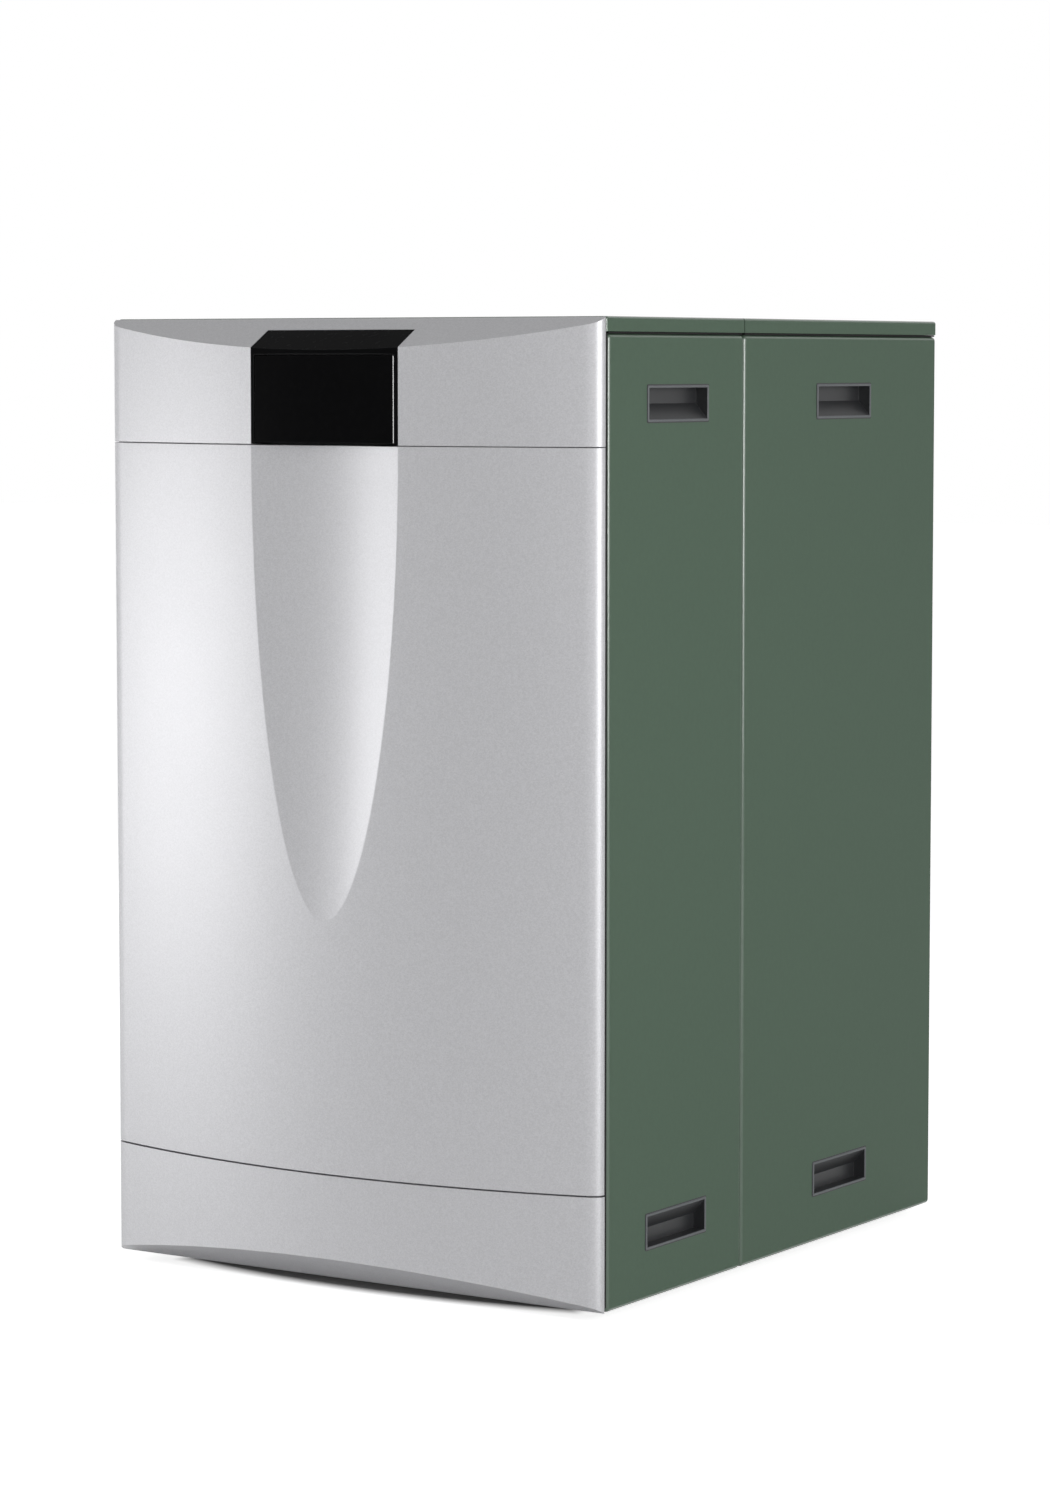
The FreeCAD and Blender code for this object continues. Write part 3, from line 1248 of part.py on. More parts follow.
def ignition_lead():
    """Silicone lead from the transformer to the ignition electrode."""
    z = FRAME_TOP - HEADER_H - IGNITION_H / 2
    first = vec(ELECTRODE_X, DRUM_Y, PLATE_TOP + ELECTRODE_UP)
    last = vec(ELECTRODE_X, MID_PORTAL_Y + TUBE + IGNITION_OVER, z)
    return bent_pipe(first, vec(ELECTRODE_X, DRUM_Y, z), last, LEAD_BEND, LEAD_R, 0.0)


def save(name, shape):
    """Moves a finished node to the footprint's middle and writes it."""
    shape = shape.copy()
    shape.translate(vec(0, -MID_Y, 0))
    solids = shape.Solids
    if len(solids) == 1:
        shape = solids[0]
    shape.exportStep("parts/" + name + ".step")


def main():
    os.makedirs("parts", exist_ok=True)
    builders = [
        base_frame, portal_frames, rear_panel, upper_front_panel, front_door_panel, lower_front_panel,
        door_studs, console_bezel, display_flap, control_fascia, display_window, power_rocker, control_module,
        front_lid, rear_lid,
        heat_exchanger, insulation_jacket, condensate_sump, burner_plate, burner_nuts, burner_tube,
        burner_electrodes, fan_housing, fan_impeller, fan_motor, gas_air_mixer, air_duct, gas_valve, gas_pipe,
        drain_valve_body, flue_pipe, condensate_trap, condensate_drain, air_vent, temperature_sensors,
        ignition_transformer, ignition_lead,
    ]
    for build in builders:
        save(build.__name__, build())
    save("supply_pipe", water_pipe(SUPPLY_Z))
    save("return_pipe", water_pipe(RETURN_Z))
    save("gas_cock_body", cock_body(GAS_COCK, GAS_PIPE_R, COCK_R, COCK_L))
    save("gas_cock_lever", cock_lever(GAS_COCK, GAS_PIPE_R, COCK_R, 1))
    save("drain_valve_lever", cock_lever(TAP, TAP_R, TAP_BODY_R, -1))
    for name, z in zip(("key_down", "key_enter", "key_up"), KEY_HEIGHTS):
        save(name, key(z))
    for section, y_range in (("front", FRONT_PANEL_Y), ("rear", REAR_PANEL_Y)):
        panel = side_panel(y_range)
        pair = handle_pair(y_range)
        save("right_" + section + "_side", panel)
        save("left_" + section + "_side", mirrored(panel))
        save("right_" + section + "_handles", pair)
        save("left_" + section + "_handles", mirrored(pair))
    for place, y in zip(("front", "rear"), FOOT_YS):
        save("foot_" + place + "_left", levelling_foot(-FOOT_X, y))
        save("foot_" + place + "_right", levelling_foot(FOOT_X, y))


main()
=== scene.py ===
"""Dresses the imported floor-standing condensing boiler.

The silver front, the green casing, the pocket handles and the display flap are modelled again with
folded sheet, soft edges and return lips; the works inside keep their solids and get real finishes.
"""

import json
import logging
import math
from contextlib import contextmanager
from dataclasses import dataclass, field
from enum import Enum
from typing import Callable, Iterator

import bmesh
import bpy
from mathutils import Matrix, Vector


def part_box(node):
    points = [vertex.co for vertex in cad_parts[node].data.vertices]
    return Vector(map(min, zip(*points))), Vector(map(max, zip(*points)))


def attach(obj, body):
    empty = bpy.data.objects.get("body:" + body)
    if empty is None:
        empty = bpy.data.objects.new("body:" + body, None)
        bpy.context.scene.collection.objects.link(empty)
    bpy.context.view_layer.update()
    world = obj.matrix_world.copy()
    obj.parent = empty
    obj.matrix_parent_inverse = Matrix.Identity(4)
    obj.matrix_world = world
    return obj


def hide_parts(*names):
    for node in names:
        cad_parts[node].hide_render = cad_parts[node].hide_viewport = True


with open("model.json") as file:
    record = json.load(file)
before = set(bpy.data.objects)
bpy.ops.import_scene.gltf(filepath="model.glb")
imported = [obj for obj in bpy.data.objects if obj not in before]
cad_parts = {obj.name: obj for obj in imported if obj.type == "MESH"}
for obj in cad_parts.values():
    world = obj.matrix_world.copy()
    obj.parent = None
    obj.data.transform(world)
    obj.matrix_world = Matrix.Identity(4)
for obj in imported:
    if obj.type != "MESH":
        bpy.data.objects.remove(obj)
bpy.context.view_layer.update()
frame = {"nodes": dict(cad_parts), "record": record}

LOG = logging.getLogger("boiler")
MM = 0.001
# How near two places count as one, as on one plane, and as on one curved face.
HAIR = 0.01 * MM
TOUCH = 0.05 * MM
NEAR = 0.5 * MM
# Least part of a unit vector that runs along an axis.
ALONG = 0.95
# Inputs of a colour mix: factor, first colour, second colour.
COLOUR_MIX_INPUTS = (0, 6, 7)
WHITE = (1.0, 1.0, 1.0, 1.0)
MIRROR = Matrix.Scale(-1.0, 4, (1.0, 0.0, 0.0))

Piece = bpy.types.Object
Socket = bpy.types.NodeSocket
Node = bpy.types.Node
Outputs = bpy.types.bpy_prop_collection
Tree = bpy.types.NodeTree
Colour = tuple[float, float, float, float]
Place = tuple[float, float, float]
Shade = tuple[int, int, int]
Outline = list[tuple[float, float]]
Value = float | Socket
Pattern = tuple[Socket, Socket, Socket | None]
Test = Callable[[Vector, Vector], bool]


class Part(Enum):
    """What a selection in edit mode picks."""

    FACE = "FACE"
    EDGE = "EDGE"


class Side(Enum):
    """Side of the casing, as the sign of its X axis."""

    RIGHT = 1
    LEFT = -1


def clear_selection() -> None:
    """Leave edit mode and select nothing."""
    if bpy.context.object is not None and bpy.context.object.mode != "OBJECT":
        bpy.ops.object.mode_set(mode="OBJECT")
    bpy.ops.object.select_all(action="DESELECT")


def select_only(piece: Piece) -> None:
    """Select one piece alone and make it active.

    Args:
        piece: The piece.
    """
    clear_selection()
    bpy.context.view_layer.objects.active = piece
    piece.select_set(True)


def settle(name: str) -> Piece:
    """Name the primitive that was just added and put its place into its mesh.

    Args:
        name: Name of the piece.

    Returns:
        The piece, at the origin.
    """
    piece = bpy.context.object
    piece.name = name
    piece.data.name = name
    bpy.ops.object.transform_apply(location=True, rotation=True, scale=True)
    return piece


def add_box(name: str, low: Vector, high: Vector) -> Piece:
    """Add a box between two corners.

    Args:
        name: Name of the piece.
        low: Lowest corner in metres.
        high: Highest corner in metres.

    Returns:
        The new piece, at the origin with its place in its mesh.
    """
    clear_selection()
    low, high = Vector(low), Vector(high)
    bpy.ops.mesh.primitive_cube_add(size=1.0, location=(low + high) / 2)
    bpy.context.object.scale = high - low
    return settle(name)


def add_rod(name: str, centre: Vector, axis: str, radius: float, length: float, sides: int = 32) -> Piece:
    """Add a round rod about its middle.

    Args:
        name: Name of the piece.
        centre: Middle of the rod.
        axis: "X" or "Y".
        radius: Radius in metres.
        length: Length in metres.
        sides: Number of flats round it.

    Returns:
        The new piece.
    """
    clear_selection()
    turn = {"X": (0.0, math.pi / 2, 0.0), "Y": (math.pi / 2, 0.0, 0.0)}[axis]
    bpy.ops.mesh.primitive_cylinder_add(vertices=sides, radius=radius, depth=length,
                                        location=centre, rotation=turn)
    return settle(name)


def add_sheet(name: str, rows: list[list[Vector]]) -> Piece:
    """Add a grid and move its crossings to given places.

    Args:
        name: Name of the piece.
        rows: Rows of places from low to high, each from left to right as seen from outside.

    Returns:
        The new sheet, merged where its crossings meet.
    """
    clear_selection()
    bpy.ops.mesh.primitive_grid_add(x_subdivisions=len(rows[0]) - 1, y_subdivisions=len(rows) - 1, size=1.0)
    piece = settle(name)
    places = [place for row in rows for place in row]
    for vertex, place in zip(piece.data.vertices, places, strict=True):
        vertex.co = place
    with editing(piece):
        bpy.ops.mesh.select_all(action="SELECT")
        bpy.ops.mesh.remove_doubles(threshold=2 * HAIR)
        bpy.ops.mesh.dissolve_degenerate(threshold=HAIR)
    return piece


@contextmanager
def editing(piece: Piece) -> Iterator[None]:
    """Keep a piece in edit mode for the length of a with block.

    Args:
        piece: The piece.

    Yields:
        Nothing.
    """
    select_only(piece)
    bpy.ops.object.mode_set(mode="EDIT")
    yield
    bpy.ops.object.mode_set(mode="OBJECT")


def pick(piece: Piece, part: Part, test: Test) -> int:
    """Select what passes a test, in edit mode.

    Args:
        piece: The piece in edit mode.
        part: Faces or edges.
        test: Gets the middle and the normal (or an edge's direction) of each.

    Returns:
        How many were selected.
    """
    bpy.ops.mesh.select_mode(type=part.value)
    bpy.ops.mesh.select_all(action="DESELECT")
    mesh = bmesh.from_edit_mesh(piece.data)
    mesh.normal_update()
    found = 0
    for item in mesh.faces if part is Part.FACE else mesh.edges:
        if part is Part.FACE:
            middle, way = item.calc_center_median(), item.normal
        else:
            start, end = (vertex.co for vertex in item.verts)
            middle, way = (start + end) / 2, (end - start).normalized()
        if test(middle, way):
            item.select_set(True)
            found += 1
    bmesh.update_edit_mesh(piece.data)
    return found


def modify(piece: Piece, kind: str, **settings: object) -> None:
    """Set up a modifier and apply it.

    Args:
        piece: The piece.
        kind: Type name of the modifier.
        settings: Its properties.
    """
    modifier = piece.modifiers.new(kind.lower(), kind)
    for key, value in settings.items():
        setattr(modifier, key, value)
    select_only(piece)
    bpy.ops.object.modifier_apply(modifier=modifier.name)


def thicken(piece: Piece, wall: float, even: bool = True) -> None:
    """Give a sheet its wall behind its outer face; not even where rows of the sheet run together."""
    modify(piece, "SOLIDIFY", thickness=wall, offset=-1.0, use_even_offset=even, use_quality_normals=True)


def soften(piece: Piece, width: float, segments: int = 2, degrees: float = 50.0) -> None:
    """Round every edge that turns by more than an angle."""
    modify(piece, "BEVEL", width=width, segments=segments, limit_method="ANGLE",
           angle_limit=math.radians(degrees), use_clamp_overlap=True)


def smooth(piece: Piece, degrees: float = 32.0, weighted: bool = True) -> None:
    """Shade a piece smooth up to an angle and keep its large faces true.

    Args:
        piece: The piece.
        degrees: Edges sharper than this stay crisp.
        weighted: Whether large faces lead the shading.
    """
    select_only(piece)
    bpy.ops.object.shade_smooth_by_angle(angle=math.radians(degrees))
    if weighted:
        modify(piece, "WEIGHTED_NORMAL", weight=60, keep_sharp=True)


def join(pieces: list[Piece]) -> Piece:
    """Make one object of several, under the first one's name.

    Args:
        pieces: What is joined.

    Returns:
        The joined piece.
    """
    if len(pieces) == 1:
        return pieces[0]
    select_only(pieces[0])
    for piece in pieces[1:]:
        piece.select_set(True)
    bpy.ops.object.join()
    return pieces[0]


def remove(*pieces: Piece) -> None:
    """Take out pieces that were only there to be copied."""
    for piece in pieces:
        bpy.data.objects.remove(piece)


def copy_of(piece: Piece, name: str, move: Matrix) -> Piece:
    """Copy a piece with its own mesh, moved or mirrored.

    Args:
        piece: What is copied.
        name: Name of the copy.
        move: Where the copy's mesh goes.

    Returns:
        The copy.
    """
    twin = piece.copy()
    twin.data = piece.data.copy()
    twin.name = name
    twin.data.name = name
    bpy.context.scene.collection.objects.link(twin)
    twin.data.transform(move)
    if move.determinant() < 0:
        twin.data.flip_normals()
    return twin


class Nodes:
    """Writes one node tree with short calls."""

    def __init__(self, tree: Tree) -> None:
        """Keep the tree that the calls write into."""
        self.tree = tree

    def add(self, kind: str, inputs: dict | None = None, **settings: object) -> Node:
        """Add a node, set it up and link or set its inputs.

        Args:
            kind: The node's type name without its ShaderNode prefix.
            inputs: Input name or number to a value or an output socket.
            settings: Properties of the node.

        Returns:
            The new node.
        """
        node = self.tree.nodes.new("ShaderNode" + kind)
        for key, value in settings.items():
            setattr(node, key, value)
        for key, value in (inputs or {}).items():
            self.put(node, key, value)
        return node

    def put(self, node: Node, key: str | int, value: Value | Colour | Place) -> None:
        """Link an output socket to an input, or set the input's value.

        Args:
            node: The node.
            key: Name or number of the input.
            value: A value, or the output that feeds it.
        """
        if isinstance(value, Socket):
            self.tree.links.new(value, node.inputs[key])
        else:
            node.inputs[key].default_value = value

    def place(self) -> Socket:
        """Place on the object, in its own coordinates."""
        return self.add("TexCoord").outputs["Object"]

    def noise(self, place: Socket, scale: float | Socket,
              detail: float = 2.0, rough: float = 0.5) -> Socket:
        """Noise over a place, from 0 to 1."""
        return self.add("TexNoise", {"Vector": place, "Scale": scale, "Detail": detail,
                                     "Roughness": rough}).outputs["Fac"]

    def span(self, value: Socket, low: float, high: float) -> Socket:
        """Stretch 0 to 1 onto a range."""
        return self.add("MapRange", {"Value": value, "To Min": low, "To Max": high}).outputs["Result"]

    def ramp(self, value: Socket, start: float, end: float, least: float = 0.0) -> Socket:
        """Rise from a least value to one between two values."""
        return self.add("MapRange", {"Value": value, "From Min": start, "From Max": end,
                                     "To Min": least}).outputs["Result"]

    def blend(self, factor: Socket, first: Socket | Colour, second: Colour) -> Socket:
        """Mix two colours by a factor.

        Args:
            factor: Share of the second colour.
            first: First colour.
            second: Second colour.

        Returns:
            The mixed colour.
        """
        node = self.add("Mix", data_type="RGBA", clamp_factor=True)
        for socket, value in zip(COLOUR_MIX_INPUTS, (factor, first, second)):
            self.put(node, socket, value)
        return node.outputs[2]

    def maths(self, operation: str, first: Value, second: Value) -> Socket:
        """Combine two values."""
        return self.add("Math", {0: first, 1: second}, operation=operation).outputs[0]

    def times(self, first: Value, second: Value) -> Socket:
        """Product of two values."""
        return self.maths("MULTIPLY", first, second)

    def plus(self, first: Value, second: Value) -> Socket:
        """Sum of two values."""
        return self.maths("ADD", first, second)

    def less(self, first: Value, second: Value) -> Socket:
        """Difference of two values."""
        return self.maths("SUBTRACT", first, second)


def new_material(name: str) -> tuple[bpy.types.Material, Nodes, Node]:
    """Start a material.

    Args:
        name: Name of the material.

    Returns:
        The material, the writer of its tree and its Principled shader.
    """
    material = bpy.data.materials.new(name)
    material.use_nodes = True
    return material, Nodes(material.node_tree), material.node_tree.nodes["Principled BSDF"]


class Effects:
    """Shader node groups for what several finishes share, each built once."""

    def __init__(self) -> None:
        """Build every group."""
        self.flake = self._flake()
        self.peel = self._peel()
        self.film = self._film()
        # Lightened edges: rubbed wear and a painted edge highlight.
        self.edges = self._edges()

    @staticmethod
    def _group(name: str, inputs: dict[str, float], outputs: list[str]) -> tuple[Tree, Nodes,
                                                                                 Node, Node]:
        """Start a group with named sockets.

        Args:
            name: Name of the group.
            inputs: Input name to its default.
            outputs: Names of the value outputs.

        Returns:
            The tree, its writer, its input node and its output node.
        """
        tree = bpy.data.node_groups.new(name, "ShaderNodeTree")
        for key, value in inputs.items():
            socket = tree.interface.new_socket(key, in_out="INPUT", socket_type="NodeSocketFloat")
            socket.default_value = value
        for key in outputs:
            tree.interface.new_socket(key, in_out="OUTPUT", socket_type="NodeSocketFloat")
        return tree, Nodes(tree), tree.nodes.new("NodeGroupInput"), tree.nodes.new("NodeGroupOutput")

    def _flake(self) -> Tree:
        """Metallic flake: sparkling cells that differ in brightness and stand at small tilts.

        Returns:
            The group.
        """
        tree, nodes, given, out = self._group("metal_flake", {"Scale": 900.0}, ["Sparkle", "Height"])
        place = nodes.place()
        cells = nodes.add("TexVoronoi", {"Vector": place, "Scale": given.outputs["Scale"]}, feature="F1")
        grey = nodes.add("SeparateColor", {"Color": cells.outputs["Color"]})
        cloud = nodes.noise(place, nodes.times(given.outputs["Scale"], 0.35), 3.0, 0.6)
        sparkle = nodes.plus(nodes.times(grey.outputs[0], 0.55),
                              nodes.times(cloud, 0.45))
        nodes.put(out, "Sparkle", sparkle)
        nodes.put(out, "Height", nodes.plus(grey.outputs[1], cloud))
        return tree

    def _peel(self) -> Tree:
        """Fine unevenness of paint or a moulded skin.

        Returns:
            The group.
        """
        tree, nodes, given, out = self._group("skin_grain", {"Scale": 400.0}, ["Height", "Mottle"])
        place = nodes.place()
        fine = nodes.noise(place, given.outputs["Scale"], 3.0, 0.55)
        broad = nodes.noise(place, nodes.times(given.outputs["Scale"], 0.22), 2.0, 0.5)
        nodes.put(out, "Height", nodes.plus(nodes.times(fine, 0.6),
                                             nodes.times(broad, 0.4)))
        nodes.put(out, "Mottle", broad)
        return tree

    def _film(self) -> Tree:
        """Thin uneven film of dust and handling over a large face.

        Returns:
            The group.
        """
        tree, nodes, given, out = self._group("handling_film", {"Amount": 0.1}, ["Film"])
        place = nodes.place()
        broad = nodes.noise(place, 5.0, 4.0, 0.6)
        fine = nodes.noise(place, 60.0, 3.0, 0.6)
        film = nodes.times(nodes.span(broad, 0.2, 1.0), nodes.span(fine, 0.6, 1.0))
        nodes.put(out, "Film", nodes.times(film, given.outputs["Amount"]))
        return tree

    def _edges(self) -> Tree:
        """Lighter edges, rubbed wear and a painted edge highlight: a mask that grows where the surface turns
        within a millimetre or so.

        Returns:
            The group.
        """
        tree, nodes, given, out = self._group("rubbed_edges", {"Amount": 0.3}, ["Rub"])
        soft = nodes.add("Bevel", {"Radius": 1.2 * MM}, samples=4).outputs["Normal"]
        flat = nodes.add("NewGeometry").outputs["Normal"]
        turn = nodes.add("VectorMath", {0: soft, 1: flat}, operation="DOT_PRODUCT").outputs["Value"]
        edge = nodes.ramp(turn, 0.97, 0.8)
        broken = nodes.noise(nodes.place(), 180.0, 3.0, 0.6)
        mask = nodes.times(edge, nodes.span(broken, 0.4, 1.0))
        nodes.put(out, "Rub", nodes.times(mask, given.outputs["Amount"]))
        return tree


def tone(shade: Shade) -> Colour:
    """Turn a screen colour into a shader colour.

    Args:
        shade: Red, green and blue from 0 to 255.

    Returns:
        The linear colour with full alpha.
    """
    shares = [value / 255 for value in shade]
    linear = [share / 12.92 if share <= 0.04045 else ((share + 0.055) / 1.055) ** 2.4 for share in shares]
    return (*linear, 1.0)


@dataclass(frozen=True)
class Finish:
    """A coated or moulded surface with a fine grain, a thin film of handling, and edges lightened as wear and
    as a painted edge highlight.
    """

    name: str
    light: Shade
    dark: Shade
    rubbed: Shade
    metallic: float = 0.0
    rough: tuple[float, float] = (0.4, 0.5)
    coat: float = 0.0
    coat_rough: float = 0.1
    specular: float = 0.5
    sheen: float = 0.0
    grain: float = 400.0
    depth: float = 0.02
    film: float = 0.1
    rub: float = 0.2

    def build(self, effects: Effects) -> bpy.types.Material:
        """Make the material.

        Args:
            effects: The shared node groups.

        Returns:
            The material, with a Principled shader fed by the groups.
        """
        material, nodes, shader = new_material(self.name)
        plain = {"Metallic": self.metallic, "Coat Weight": self.coat, "Coat Roughness": self.coat_rough,
                 "Specular IOR Level": self.specular, "Sheen Weight": self.sheen}
        for key, value in plain.items():
            shader.inputs[key].default_value = value
        tint, gloss, height = self.pattern(nodes, effects)
        film = self.use(nodes, effects.film, Amount=self.film)["Film"]
        rub = self.use(nodes, effects.edges, Amount=self.rub)["Rub"]
        colour = nodes.blend(tint, tone(self.dark), tone(self.light))
        # Edges take the lighter tone: rubbed wear and a painted edge highlight.
        nodes.put(shader, "Base Color", nodes.blend(rub, colour, tone(self.rubbed)))
        nodes.put(shader, "Roughness", nodes.plus(nodes.span(gloss, *self.rough), film))
        if height is not None:
            bump = nodes.add("Bump", {"Height": height, "Strength": 1.0, "Distance": self.depth * MM})
            nodes.put(shader, "Normal", bump.outputs["Normal"])
        shine = self.shine(nodes)
        if shine is not None:
            nodes.put(shader, "Coat Weight", shine)
        return material

    def use(self, nodes: Nodes, tree: Tree, **inputs: float) -> Outputs:
        """Place a shared group in this material with its own values."""
        return nodes.add("Group", inputs, node_tree=tree).outputs

    def pattern(self, nodes: Nodes, effects: Effects) -> Pattern:
        """Masks for the tint and the roughness of this kind of surface, and its height or None."""
        grain = self.use(nodes, effects.peel, Scale=self.grain)
        return grain["Mottle"], grain["Mottle"], grain["Height"]

    def shine(self, nodes: Nodes) -> Socket | None:
        """Mask of a clear gloss that only some places have."""
        return None


@dataclass(frozen=True)
class FoldedPaint(Finish):
    """Satin paint on folded sheet, which shines where the sheet turns."""

    flat: float = 0.995
    turned: float = 0.9

    def shine(self, nodes: Nodes) -> Socket:
        """Clear gloss on the folds, which face along no axis.

        Args:
            nodes: Writer for the material's tree.

        Returns:
            The mask.
        """
        size = nodes.add("VectorMath", {0: nodes.add("TexCoord").outputs["Normal"]}, operation="ABSOLUTE")
        axes = nodes.add("SeparateXYZ", {"Vector": size.outputs["Vector"]}).outputs
        square = nodes.maths("MAXIMUM", nodes.maths("MAXIMUM", axes["X"], axes["Y"]), axes["Z"])
        return nodes.ramp(square, self.flat, self.turned)


@dataclass(frozen=True)
class GroundEdge(Finish):
    """Gloss black pane whose ground side edges catch the light."""

    plain: float = 0.4
    ground: float = 0.6

    def shine(self, nodes: Nodes) -> Socket:
        """Clear gloss on edges that face ahead and sideways.

        Args:
            nodes: Writer for the material's tree.

        Returns:
            The mask.
        """
        axes = nodes.add("SeparateXYZ", {"Vector": nodes.add("TexCoord").outputs["Normal"]}).outputs
        sideways = nodes.maths("ABSOLUTE", axes["X"], 0.0)
        ahead = nodes.ramp(axes["Y"], -self.plain, -self.ground)
        return nodes.times(nodes.ramp(sideways, self.plain, self.ground), ahead)


@dataclass(frozen=True)
class FlakePaint(Finish):
    """Silver paint with metal flakes under a thin clear coat."""

    def pattern(self, nodes: Nodes, effects: Effects) -> Pattern:
        """Sparkle in the colour and tilted flakes in the height."""
        flake = self.use(nodes, effects.flake, Scale=self.grain)
        return flake["Sparkle"], flake["Sparkle"], flake["Height"]


@dataclass(frozen=True)
class DrawnMetal(Finish):
    """Bare metal with drawing lines along one axis."""

    stretch: Place = (1.0, 1.0, 0.04)

    def pattern(self, nodes: Nodes, effects: Effects) -> Pattern:
        """Streaks in colour, roughness and height."""
        drawn = nodes.add("Mapping", {"Vector": nodes.place(), "Scale": self.stretch}).outputs["Vector"]
        return (nodes.noise(drawn, self.grain, 4.0, 0.65),) * 3


@dataclass(frozen=True)
class Spangle(Finish):
    """Zinc-coated sheet with its crystal pattern."""

    def pattern(self, nodes: Nodes, effects: Effects) -> Pattern:
        """Flat crystals that differ in tone and gloss.

        Args:
            nodes: Writer for the material's tree.
            effects: The shared node groups; not used.

        Returns:
            Tint, roughness and no height.
        """
        crystals = nodes.add("TexVoronoi", {"Vector": nodes.place(), "Scale": self.grain}, feature="F1",
                             distance="MANHATTAN")
        split = nodes.add("SeparateColor", {"Color": crystals.outputs["Color"]}).outputs
        return split[0], split[1], None


@dataclass(frozen=True)
class Felt(Finish):
    """Needled mineral felt: tangled fibres with soft hollows."""

    hollow: float = 30.0
    tangle: float = 3.0

    def pattern(self, nodes: Nodes, effects: Effects) -> Pattern:
        """Fibres in the colour, and fibres over hollows in the height.

        Args:
            nodes: Writer for the material's tree.
            effects: The shared node groups; not used.

        Returns:
            Tint, roughness and height.
        """
        place = nodes.place()
        waves = nodes.add("TexNoise", {"Vector": place, "Scale": self.grain, "Detail": 6.0, "Roughness": 0.75,
                                       "Distortion": self.tangle}).outputs["Fac"]
        return waves, waves, nodes.plus(waves, nodes.noise(place, self.hollow, 3.0, 0.5))


